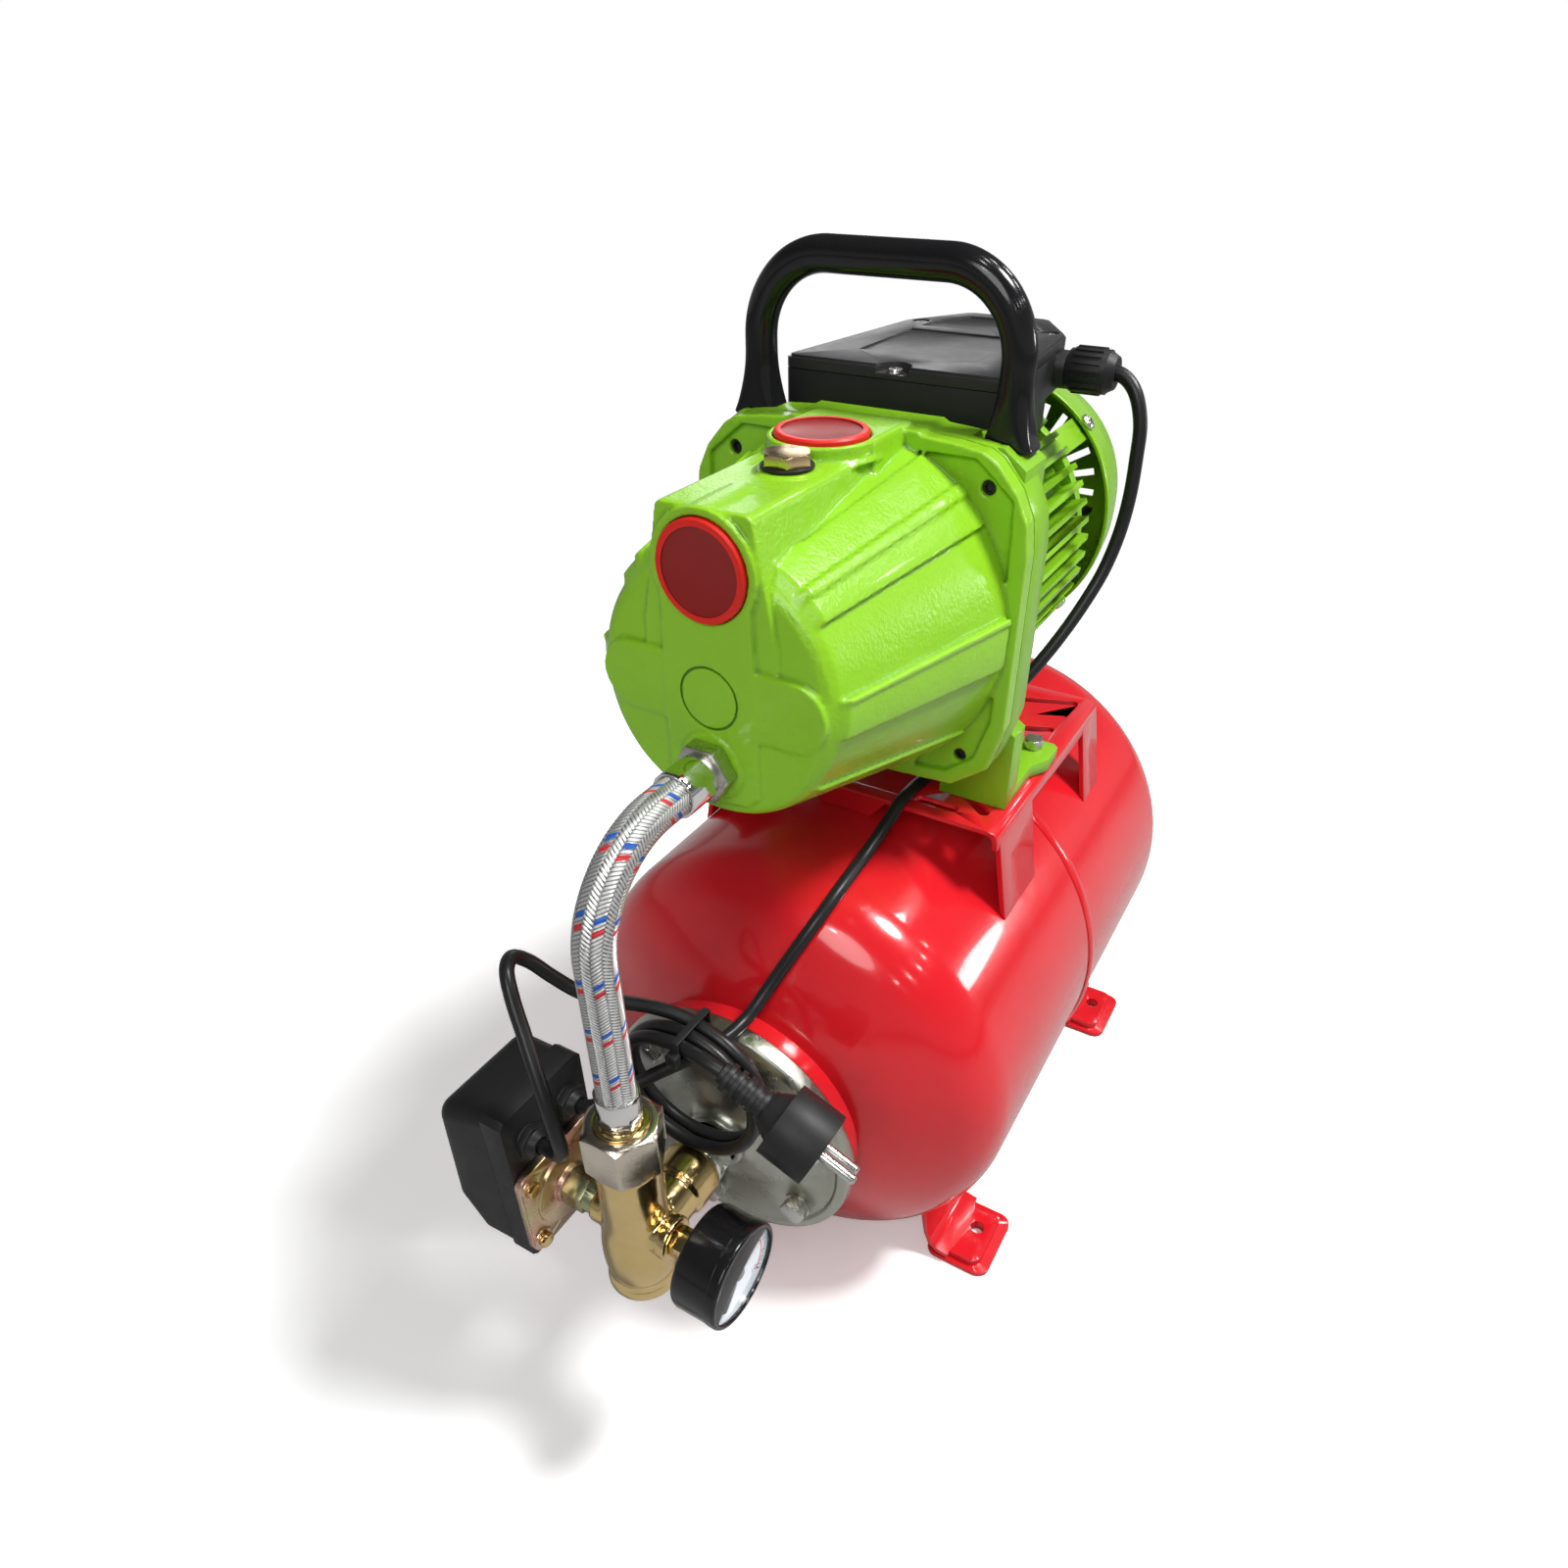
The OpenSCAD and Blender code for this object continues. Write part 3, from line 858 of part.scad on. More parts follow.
// the plug's own space: Z out to the pins
module at_plug() { translate(plug_at + fit_shift) rotate([0, plug_tilt, 0]) rotate([0, 0, plug_turn]) children(); }
module mains_plug() { color("black") at_plug() difference() {
    union() {
        intersection() {
            translate([0, 0, -12]) cylinder(r = 18.5, h = 24, $fn = 64);
            translate([-20, -17.5, -12]) cube([40, 35, 24]);
        }
        translate([0, 0, -20]) cylinder(r1 = 8.5, r2 = 13, h = 8.1);
        translate([0, 0, -boot_len + 1]) cylinder(r1 = 5.2, r2 = 6.6, h = boot_len - 20);
        for (z = [-43:5:-23]) translate([0, 0, z]) cylinder(r = 7.4, h = 2.6);
    }
    translate([0, 0, 11]) cylinder(r = 2.4, h = 3);
    for (y = [-20, 17.2]) translate([-3.5, y, -2]) cube([7, 2.8, 15]);
    for (s = [-1, 1]) translate([s * pin_gap / 2, 0, 2]) cylinder(r = 2.4 + 0.05, h = 11);
    translate([0, 0, -boot_len]) cylinder(r = cord_r + 0.1, h = 0.5);
} }
module plug_pins() { color("silver") at_plug() for (s = [-1, 1])
    translate([s * pin_gap / 2, 0, 2.1]) rotate_extrude() polygon([[0, 0], [2.4, 0], [2.4, 27.5],
        [1.4, 29], [0, 29]]); }
module cord_tie() { color("black") translate([3, 0, 0] + fit_shift) difference() {
    union() {
        translate([-2, -267.8, 240.4]) cube([4, 27.4, 13.2]);
        translate([-3, -271.8, 241.5]) cube([6, 4.5, 6]);
    }
    translate([-5, -266.6, 241.6]) cube([10, 25, 10.8]);
} }

tank_front_shell();
tank_rear_shell();
tank_bladder();
foot_front();
foot_rear();
pump_bracket();
tank_flange();
flange_bolts();
air_valve();
valve_cap();
pump_body();
suction_cap();
discharge_cap();
priming_plug();
priming_washer();
ejector();
diffuser();
impeller();
shaft_seal();
pump_bolts();
motor_bracket();
foot_bolts();
motor_frame();
stator();
windings();
rotor();
bearings();
end_shield();
fan();
fan_cover();
cover_screws();
terminal_box();
terminal_lid();
lid_screws();
cord_gland();
handle();
hose_nut();
hose_sleeves();
hose();
union_nut();
hose_tail();
five_way();
tank_nipple();
gauge_stem();
gauge_case();
gauge_dial();
gauge_needle();
gauge_glass();
switch_nut();
switch_flange();
switch_base();
switch_cover();
switch_bolts();
switch_glands();
motor_cord();
mains_cord();
mains_plug();
plug_pins();
cord_tie();
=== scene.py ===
# Booster set: jet pump, motor and pressure tank. The CAD frame gives every size and place,
# and this script gives the finishes, the cords and the moulded and cast surfaces.
import json
import math

import bmesh
import bpy
from mathutils import Matrix, Vector


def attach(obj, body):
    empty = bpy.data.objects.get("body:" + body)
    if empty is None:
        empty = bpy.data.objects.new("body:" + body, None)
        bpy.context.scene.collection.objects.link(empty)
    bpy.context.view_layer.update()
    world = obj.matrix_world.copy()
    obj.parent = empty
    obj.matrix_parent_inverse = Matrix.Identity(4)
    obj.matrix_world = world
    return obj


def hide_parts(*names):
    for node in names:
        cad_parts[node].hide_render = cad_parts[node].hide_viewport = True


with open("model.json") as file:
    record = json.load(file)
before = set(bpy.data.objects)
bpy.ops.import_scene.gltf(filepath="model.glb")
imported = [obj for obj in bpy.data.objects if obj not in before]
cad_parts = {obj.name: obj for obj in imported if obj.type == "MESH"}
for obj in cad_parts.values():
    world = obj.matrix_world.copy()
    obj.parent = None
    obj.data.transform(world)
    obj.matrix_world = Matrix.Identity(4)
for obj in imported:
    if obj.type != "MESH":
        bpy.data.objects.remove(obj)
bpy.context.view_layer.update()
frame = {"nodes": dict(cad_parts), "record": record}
nodes = frame["nodes"]
mm = 0.001
print("frame loaded:", len(nodes), "nodes")


def addPiece(name, data):
    piece = bpy.data.objects.new(name, data)
    bpy.context.collection.objects.link(piece)
    return piece


# nodes of worlds and materials, where a value is a number or another node's socket
def put(tree, kind, ins=None, **props):
    node = tree.nodes.new("ShaderNode" + kind)
    for key, value in props.items():
        setattr(node, key, value)
    for key, value in (ins or {}).items():
        socket = node.inputs[key]
        if isinstance(value, bpy.types.NodeSocket):
            tree.links.new(value, socket)
        else:
            socket.default_value = value
    return node


def reckon(tree, operation, *values):
    return put(tree, "Math", dict(enumerate(values)), operation=operation).outputs[0]


def ramp(tree, value, low=0.0, high=1.0, start=0.0, end=1.0):
    # takes low to high and turns it into start to end
    return put(tree, "MapRange", {0: value, 1: low, 2: high, 3: start, 4: end}).outputs[0]


def blend(tree, part, first, second):
    return put(tree, "Mix", {0: part, 6: first, 7: second}, data_type="RGBA").outputs[2]


def pickShader(tree, part, first, second):
    return put(tree, "MixShader", {0: part, 1: first, 2: second}).outputs[0]


def colour(c):
    return (*c, 1.0)


# camera, lamps, backdrop and floor
cameraSet = {
    "place": (0.2208, -0.5248, 0.6069),
    "turn": 0.536,      # left of straight ahead
    "tilt": -0.657,     # below the horizon
    "roll": -0.006,
    "lens": 23.69,
    "sensor": 36,
    "shiftX": -0.0059,
    "shiftY": 0.0597,
    "nearest": 0.01,
}
light = {
    "aim": (0, -0.05, 0.28),
    "key": {"place": (1.2, 0.5, 2.5), "size": 0.6, "power": 76},
    "fill": {"place": (0.5, -2.3, 2.1), "size": 1.5, "power": 32},
    "glints": {"size": 0.17, "power": 2.6, "places": [
        (0.5, 0.86, 2.4), (0.4, 0.1, 2.4), (0.32, -0.7, 2.4), (0.26, -1.9, 2.4), (2.3, 2.1, 2.4),
        (2.4, 0.9, 2.4), (2.47, -0.1, 2.4), (2.5, -1.3, 2.4), (2.5, -2.8, 2.4),
        (0.42, 1.5, 1.6), (0.8, 1.2, 1.6)]},
    "window": {"place": (2.2, 2.0, 0.8), "size": 0.45, "power": 10},
    "rear": {"place": (-1.25, 2.1, 1.0), "size": 0.9, "power": 4.5},
}
backdrop = {
    "even": 0.24,           # soft light on everything
    "horizon": 0.35,        # what shiny parts mirror near eye height
    "ceiling": 0.05,        # and overhead
    "fade": (0.12, 0.5),    # upward slope of the change between those two
}
floorSet = {
    "size": 30, "drop": 0.0002,
    "near": 0.62, "far": 1.35,      # where it fades to plain white
    "plain": 0.45,                  # how pale it is to the object
    "shown": 1.2, "glow": 0.1,      # and to the camera
}


def makeCamera(s):
    data = bpy.data.cameras.new("camera")
    data.sensor_width = s["sensor"]
    data.lens = s["lens"]
    data.shift_x = s["shiftX"]
    data.shift_y = s["shiftY"]
    data.clip_start = s["nearest"]
    cam = addPiece("camera", data)
    cam.matrix_world = (
        Matrix.Translation(s["place"])
        @ Matrix.Rotation(s["turn"], 4, "Z")
        @ Matrix.Rotation(math.pi / 2 + s["tilt"], 4, "X")
        @ Matrix.Rotation(s["roll"], 4, "Z")
    )
    bpy.context.scene.camera = cam


def makeLamp(name, s):
    data = bpy.data.lights.new(name, "AREA")
    data.shape = "DISK"
    data.size = s["size"]
    data.energy = s["power"]
    lamp = addPiece(name, data)
    lamp.location = s["place"]
    way = Vector(light["aim"]) - Vector(s["place"])
    lamp.rotation_euler = way.to_track_quat("-Z", "Y").to_euler()
    return lamp


def paleWorld(s):
    # seen as plain white, mirrored as a dim backdrop under a dimmer ceiling, and lighting evenly
    world = bpy.data.worlds.new("studio")
    bpy.context.scene.world = world
    world.use_nodes = True
    tree = world.node_tree
    tree.nodes.clear()
    way = put(tree, "TexCoord").outputs["Generated"]
    up = put(tree, "SeparateXYZ", {0: way}).outputs[2]
    dim = ramp(tree, up, *s["fade"], s["horizon"], s["ceiling"])
    shown, mirrored, lit = (
        put(tree, "Background", {0: colour((1, 1, 1)), 1: value}).outputs[0]
        for value in (1.0, dim, s["even"]))
    path = put(tree, "LightPath").outputs
    seen = reckon(tree, "MAXIMUM", path["Is Camera Ray"], path["Is Transmission Ray"])
    unseen = pickShader(tree, path["Is Glossy Ray"], lit, mirrored)
    put(tree, "OutputWorld", {0: pickShader(tree, seen, unseen, shown)})


def paleFloor(s):
    # pale near the object, where it takes the shadow, and plain white further off
    bpy.ops.mesh.primitive_plane_add(size=s["size"], location=(0, 0, -s["drop"]))
    floor = bpy.context.object
    floor.name = "floor"
    mat = bpy.data.materials.new("paleFloor")
    mat.use_nodes = True
    tree = mat.node_tree
    tree.nodes.clear()
    place = put(tree, "TexCoord").outputs["Object"]
    reach = put(tree, "VectorMath", {0: place}, operation="LENGTH").outputs["Value"]
    fade = put(tree, "MapRange", {0: reach, 1: s["near"], 2: s["far"]},
               interpolation_type="SMOOTHSTEP").outputs[0]
    plain, shown = (put(tree, "BsdfDiffuse", {0: colour([s[key]] * 3)}).outputs[0]
                    for key in ("plain", "shown"))
    glow, white = (put(tree, "Emission", {1: value}).outputs[0] for value in (s["glow"], 1.0))
    near = put(tree, "AddShader", {0: shown, 1: glow}).outputs[0]
    camera = put(tree, "LightPath").outputs["Is Camera Ray"]
    put(tree, "OutputMaterial",
        {0: pickShader(tree, camera, plain, pickShader(tree, fade, near, white))})
    floor.data.materials.append(mat)


makeCamera(cameraSet)
for lampName in ("key", "fill"):
    makeLamp(lampName, light[lampName])
# small ceiling lamps, seen only as glints
for i, place in enumerate(light["glints"]["places"]):
    makeLamp(f"glint{i}", {**light["glints"], "place": place}).visible_diffuse = False
for lampName in ("window", "rear"):
    makeLamp(lampName, light[lampName]).visible_diffuse = False
paleWorld(backdrop)
bpy.context.scene.view_settings.view_transform = "Standard"
paleFloor(floorSet)
print("camera, lamps and floor made")

# cords
motorCord = {
    "diameter": 7,
    "route": [
        (72, 35, 492), (77, 35, 492), (82.5, 34, 489.5), (88, 32, 484), (93, 30, 472),
        (95, 27, 456), (96, 24, 438), (95, 21, 420), (92, 15, 402), (87, 6, 386),
        (80, -6, 369), (71, -19, 352), (60, -32, 336), (50, -45, 321), (41, -57, 309),
        (36.5, -69, 302.5), (34.8, -82, 301.9), (34.5, -97, 301.9), (33.6, -108, 296.8),
        (32.1, -121, 290.4), (31.3, -134, 286), (31.5, -146, 284.9), (31.6, -158, 283.3),
        (30.9, -167, 280.5), (29.4, -175, 276), (26.9, -182, 270), (23, -189, 261),
        (19.2, -195, 252.3), (15.8, -200.5, 244.2), (13, -207, 237), (11.2, -214, 232),
        (9.8, -221, 229.8), (8.2, -232, 229.3), (4, -245, 229.5), (-2, -257, 228.5),
        (-10, -268, 226), (-18.5, -278, 221.5), (-27, -286, 216), (-33, -290.3, 211.5),
        (-39, -292, 209.6), (-46, -292, 209.5),
    ],
}
mainsCord = {
    "diameter": 7,
    "rise": [
        (-46, -320, 209.5), (-40, -320, 209.5), (-33.5, -321, 210.5), (-26.5, -323, 214.5),
        (-21.5, -325, 222), (-20.5, -326, 232), (-24.5, -324, 245), (-33, -319, 259),
        (-44, -312, 273), (-55, -305, 286), (-63, -298, 293.5), (-67.5, -290, 293),
        (-66.5, -282, 285), (-60, -275.5, 273), (-50, -269, 262), (-37, -261, 256),
        (-21, -252, 252), (-6, -247, 248),
    ],
    "coilRadius": 38,
    "coilPlace": (0, -246, 208),
    "coilDrift": -16,
    "coilTurns": 2,
    "coilSteps": 24,
    "last": [(8, -263.1, 247), (16.6, -264.4, 247.7), (22.2, -265, 247.15),
             (27.25, -265, 245.65)],
}


cordSet = {"step": 0.0025, "round": 5}


def metres(points):
    return [Vector(p) * mm for p in points]


def smoothLine(points):
    # centripetal curve through every point, cut into even short steps
    pts = [2 * points[0] - points[1]] + list(points) + [2 * points[-1] - points[-2]]
    fine = []
    for a, b, c, d in zip(pts, pts[1:], pts[2:], pts[3:]):
        knots = [0.0]
        for p, q in ((a, b), (b, c), (c, d)):
            knots.append(knots[-1] + max((q - p).length, 1e-6) ** 0.5)
        parts = max(2, math.ceil((c - b).length / cordSet["step"]))
        for i in range(parts):
            t = knots[1] + (knots[2] - knots[1]) * i / parts
            level = [a, b, c, d]
            for gap in (1, 2):
                nxt = []
                for j in range(4 - gap):
                    lo, hi = knots[j], knots[j + gap]
                    nxt.append(level[j].lerp(level[j + 1], (t - lo) / (hi - lo)))
                level = nxt
            w = (t - knots[1]) / (knots[2] - knots[1])
            fine.append(level[0].lerp(level[1], w))
    fine.append(points[-1].copy())
    return fine


def lineLength(points):
    return sum((q - p).length for p, q in zip(points, points[1:]))


def cordCurve(name, points, diameter):
    data = bpy.data.curves.new(name, "CURVE")
    data.dimensions = "3D"
    data.bevel_depth = 1.0
    data.bevel_resolution = cordSet["round"]
    data.use_fill_caps = True
    spline = data.splines.new("POLY")
    spline.points.add(len(points) - 1)
    for p, v in zip(spline.points, points):
        p.co = (*v, 1)
        p.radius = diameter / 2
    spline.use_smooth = True
    return addPiece(name, data)


def mainsRoute(s):
    x, y, z = s["coilPlace"]
    turns = []
    for i in range(1, s["coilSteps"] + 1):
        a = math.radians(90 - 360 * s["coilTurns"] * i / s["coilSteps"])
        turns.append((
            x + s["coilRadius"] * math.cos(a),
            y + s["coilDrift"] * i / s["coilSteps"],
            z + s["coilRadius"] * math.sin(a),
        ))
    return metres(s["rise"] + turns + s["last"])


motorLine = smoothLine(metres(motorCord["route"]))
mainsLine = smoothLine(mainsRoute(mainsCord))
motorLead = cordCurve("motorLead", motorLine, motorCord["diameter"] * mm)
mainsLead = cordCurve("mainsLead", mainsLine, mainsCord["diameter"] * mm)
for lead, node in ((motorLead, "motor_cord"), (mainsLead, "mains_cord")):
    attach(lead, "set")
    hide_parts(node)
print("cords made:", round(lineLength(motorLine), 3), round(lineLength(mainsLine), 3))


# finishes
def newGroup(name, ins, outs):
    tree = bpy.data.node_groups.new(name, "ShaderNodeTree")
    kinds = {"f": "NodeSocketFloat", "c": "NodeSocketColor", "v": "NodeSocketVector"}
    for way, rows in (("INPUT", ins), ("OUTPUT", outs)):
        for label, kind in rows:
            tree.interface.new_socket(label, in_out=way, socket_type=kinds[kind])
    return tree, tree.nodes.new("NodeGroupInput"), tree.nodes.new("NodeGroupOutput")


# each noise's detail and roughness, and the part of its range that is used
clouds = {
    "wave": (2.0, 0.55),
    "fine": (3.0, 0.6),
    "tint": (5.0, 0.6, 0.36, 0.66),
    "gloss": (6.0, 0.65, 0.32, 0.7),
    # the rim noise breaks the painted highlight on raised edges into patches
    "rim": (4.0, 0.6, 0.35, 0.6),
    "steel": (4.0, 0.55),
}
# pointiness where a crease's painted shade starts and where it is fully dark, and the size of the
# patches that the painted highlight on raised edges is broken into
creases = (0.492, 0.44)
rimScale = 220.0


def cloud(tree, name, vector, scale, *ends):
    detail, rough, *span = clouds[name]
    noise = put(tree, "TexNoise", {"Vector": vector, "Scale": scale, "Detail": detail,
                                   "Roughness": rough}).outputs[0]
    return ramp(tree, noise, *span, *ends) if span else noise


def skinGroup():
    # two sizes of unevenness in a painted, moulded or cast surface
    tree, ins, outs = newGroup(
        "unevenSkin", [("Fine Scale", "f"), ("Fine Depth", "f"), ("Wave Scale", "f"),
                       ("Wave Depth", "f"), ("Stretch", "v")], [("Normal", "v")])
    place = put(tree, "TexCoord").outputs["Object"]
    pulled = put(tree, "VectorMath", {0: place, 1: ins.outputs["Stretch"]},
                 operation="MULTIPLY").outputs[0]
    wave = cloud(tree, "wave", place, ins.outputs["Wave Scale"])
    fine = cloud(tree, "fine", pulled, ins.outputs["Fine Scale"])
    under = put(tree, "Bump", {"Strength": 1.0, "Distance": ins.outputs["Wave Depth"],
                               "Height": wave}).outputs[0]
    over = put(tree, "Bump", {"Strength": 1.0, "Distance": ins.outputs["Fine Depth"],
                              "Height": fine, "Normal": under}).outputs[0]
    tree.links.new(over, outs.inputs["Normal"])
    return tree


def tintGroup():
    # two close colours mixed in soft patches
    tree, ins, outs = newGroup(
        "tintPatches", [("Color", "c"), ("Other", "c"), ("Scale", "f"), ("Amount", "f")],
        [("Color", "c")])
    place = put(tree, "TexCoord").outputs["Object"]
    part = reckon(tree, "MULTIPLY", cloud(tree, "tint", place, ins.outputs["Scale"]),
                  ins.outputs["Amount"])
    tree.links.new(blend(tree, part, ins.outputs["Color"], ins.outputs["Other"]),
                   outs.inputs["Color"])
    return tree


def glossGroup():
    # roughness that drifts between a low and a high value
    tree, ins, outs = newGroup("unevenGloss", [("Low", "f"), ("High", "f"), ("Scale", "f")],
                               [("Value", "f")])
    place = put(tree, "TexCoord").outputs["Object"]
    rough = cloud(tree, "gloss", place, ins.outputs["Scale"], ins.outputs["Low"],
                  ins.outputs["High"])
    tree.links.new(rough, outs.inputs["Value"])
    return tree


def rimGroup():
    # painted highlight on raised edges, broken into patches, and painted shade in creases
    tree, ins, outs = newGroup("wornRims", [("Low", "f"), ("High", "f")],
                               [("Mask", "f"), ("Painted Crease Shade", "f")])
    edge = put(tree, "NewGeometry").outputs["Pointiness"]
    place = put(tree, "TexCoord").outputs["Object"]
    thin = ramp(tree, edge, ins.outputs["Low"], ins.outputs["High"])
    tree.links.new(reckon(tree, "MULTIPLY", thin, cloud(tree, "rim", place, rimScale)),
                   outs.inputs["Mask"])
    tree.links.new(ramp(tree, edge, *creases), outs.inputs["Painted Crease Shade"])
    return tree


groups = {"skin": skinGroup(), "tint": tintGroup(), "gloss": glossGroup(), "rim": rimGroup()}


def useGroup(tree, name, ins):
    return put(tree, "Group", ins, node_tree=groups[name])


# what a finish has where it says nothing else
usual = {"metal": 0.0, "shine": 0.3, "coat": 0.0, "coatRough": 0.1, "soft": 0.0,
         "softDepth": 0.003, "tintScale": 14.0, "tintAmount": 0.7, "glossScale": 45.0,
         "rimFrom": 0.515, "rimTo": 0.6, "stretch": (1, 1, 1)}

# skin: fine scale, fine depth, wave scale, wave depth (metres); gloss: low and high roughness
finishes = {
    "red_paint": {"base": (0.68, 0.012, 0.02), "other": (0.58, 0.009, 0.015),
                  "gloss": (0.16, 0.22), "coat": 0.5, "coatRough": 0.05,
                  "skin": (420, 0.00002, 55, 0.0002)},
    # lime paint: rim is the painted highlight colour for raised edges, crease the painted shade
    # colour for creases
    "lime_paint": {"base": (0.27, 0.58, 0.02), "other": (0.24, 0.53, 0.016), "gloss": (0.2, 0.28),
                   "coat": 0.2, "coatRough": 0.06, "skin": (560, 0.00034, 90, 0.0005),
                   "rim": (0.36, 0.66, 0.05), "crease": (0.09, 0.24, 0.006)},
    "lime_alloy": {"base": (0.225, 0.5, 0.014), "other": (0.19, 0.44, 0.011),
                   "gloss": (0.26, 0.36), "coat": 0.12, "coatRough": 0.1,
                   "skin": (500, 0.00012, 80, 0.0003)},
    "lime_sheet": {"base": (0.23, 0.51, 0.014), "other": (0.205, 0.46, 0.012),
                   "gloss": (0.24, 0.32), "coat": 0.12, "coatRough": 0.1,
                   "skin": (650, 0.00004, 50, 0.0002)},
    "zinc": {"base": (0.45, 0.46, 0.4), "other": (0.35, 0.36, 0.29), "gloss": (0.22, 0.42),
             "metal": 1.0, "skin": (900, 0.00003, 120, 0.0002), "tintScale": 26},
    "bright_steel": {"base": (0.62, 0.61, 0.58), "other": (0.5, 0.5, 0.46), "gloss": (0.16, 0.34),
                     "metal": 1.0, "skin": (1600, 0.00002, 200, 0.00006), "tintScale": 60},
    "chrome": {"base": (0.78, 0.77, 0.75), "other": (0.68, 0.68, 0.66), "gloss": (0.07, 0.16),
               "metal": 1.0, "skin": (900, 0.00001, 150, 0.00008), "tintScale": 60},
    "brass": {"base": (0.74, 0.56, 0.26), "other": (0.62, 0.45, 0.18), "gloss": (0.12, 0.22),
              "metal": 1.0, "skin": (900, 0.00002, 110, 0.00016), "tintScale": 45},
    "nickel": {"base": (0.66, 0.6, 0.5), "other": (0.56, 0.5, 0.4), "gloss": (0.14, 0.3),
               "metal": 1.0, "skin": (1400, 0.00002, 180, 0.0001), "tintScale": 50},
    "green_zinc": {"base": (0.4, 0.42, 0.24), "other": (0.34, 0.3, 0.2), "gloss": (0.2, 0.36),
                   "metal": 1.0, "skin": (1200, 0.00002, 160, 0.00006), "tintScale": 90},
    "pink_zinc": {"base": (0.72, 0.42, 0.36), "other": (0.6, 0.56, 0.3), "gloss": (0.2, 0.36),
                  "metal": 1.0, "skin": (1200, 0.00003, 140, 0.0001), "tintScale": 75,
                  "tintAmount": 0.9},
    "shaft_steel": {"base": (0.46, 0.46, 0.45), "other": (0.36, 0.36, 0.35), "gloss": (0.24, 0.4),
                    "metal": 1.0, "skin": (1500, 0.00002, 200, 0.00004)},
    "lamination": {"base": (0.2, 0.21, 0.22), "other": (0.14, 0.14, 0.15), "gloss": (0.4, 0.6),
                   "metal": 0.8, "skin": (1800, 0.00004, 200, 0.00004),
                   "stretch": (0.05, 1, 0.05)},
    "copper": {"base": (0.62, 0.24, 0.1), "other": (0.45, 0.14, 0.06), "gloss": (0.3, 0.5),
               "metal": 0.9, "skin": (1500, 0.0002, 300, 0.0004)},
    "black_rubber": {"base": (0.011, 0.011, 0.012), "other": (0.018, 0.018, 0.018),
                     "gloss": (0.3, 0.42), "skin": (1500, 0.00003, 120, 0.0001)},
    "black_gloss": {"base": (0.008, 0.008, 0.009), "other": (0.012, 0.012, 0.013),
                    "gloss": (0.12, 0.2), "coat": 0.1, "coatRough": 0.05,
                    "skin": (700, 0.000015, 60, 0.00012)},
    "black_matte": {"base": (0.011, 0.011, 0.012), "other": (0.017, 0.017, 0.018),
                    "gloss": (0.4, 0.52), "skin": (2600, 0.00006, 160, 0.00006)},
    "grey_matte": {"base": (0.02, 0.02, 0.021), "other": (0.028, 0.028, 0.029),
                   "gloss": (0.34, 0.46), "skin": (2600, 0.00005, 60, 0.0001)},
    # the darker red given for the caps' discs is painted shade
    "red_plastic": {"base": (0.74, 0.02, 0.012), "other": (0.64, 0.015, 0.01),
                    "gloss": (0.3, 0.42), "skin": (900, 0.00003, 60, 0.00015), "soft": 0.15,
                    "inner": (0.27, 0.012, 0.011)},
    "tan_plastic": {"base": (0.5, 0.36, 0.2), "other": (0.42, 0.3, 0.16), "gloss": (0.36, 0.5),
                    "skin": (1200, 0.00004, 120, 0.0001)},
    "dark_steel": {"base": (0.05, 0.05, 0.05), "other": (0.03, 0.03, 0.03), "gloss": (0.35, 0.5),
                   "metal": 0.8, "skin": (1400, 0.00003, 200, 0.00006)},
    "yellow_zinc": {"base": (0.78, 0.6, 0.3), "other": (0.72, 0.5, 0.3), "gloss": (0.18, 0.32),
                    "metal": 1.0, "skin": (1300, 0.00002, 180, 0.00006), "tintScale": 80,
                    "tintAmount": 0.85},
    "dial_white": {"base": (0.76, 0.8, 0.86), "other": (0.7, 0.73, 0.79), "gloss": (0.4, 0.5),
                   "skin": (900, 0.00001, 80, 0.00002)},
}
glassLook = {"base": (0.97, 0.98, 0.98), "bends": 1.45, "gloss": (0.01, 0.05),
             "glossScale": 90.0, "skin": (500, 0.000004, 40, 0.00002), "stretch": (1, 1, 1)}


def newFinish(name, settings):
    mat = bpy.data.materials.new(name)
    mat.use_nodes = True
    shader = mat.node_tree.nodes["Principled BSDF"]
    for label, value in settings.items():
        shader.inputs[label].default_value = value
    return mat, mat.node_tree, shader


def joinTo(tree, shader, sockets):
    for label, socket in sockets.items():
        tree.links.new(socket, shader.inputs[label])


def surface(tree, s):
    gloss = useGroup(tree, "gloss", {"Low": s["gloss"][0], "High": s["gloss"][1],
                                     "Scale": s["glossScale"]})
    fine, fineDepth, wave, waveDepth = s["skin"]
    skin = useGroup(tree, "skin", {"Fine Scale": fine, "Fine Depth": fineDepth,
                                   "Wave Scale": wave, "Wave Depth": waveDepth,
                                   "Stretch": s["stretch"]})
    return {"Roughness": gloss.outputs[0], "Normal": skin.outputs[0]}


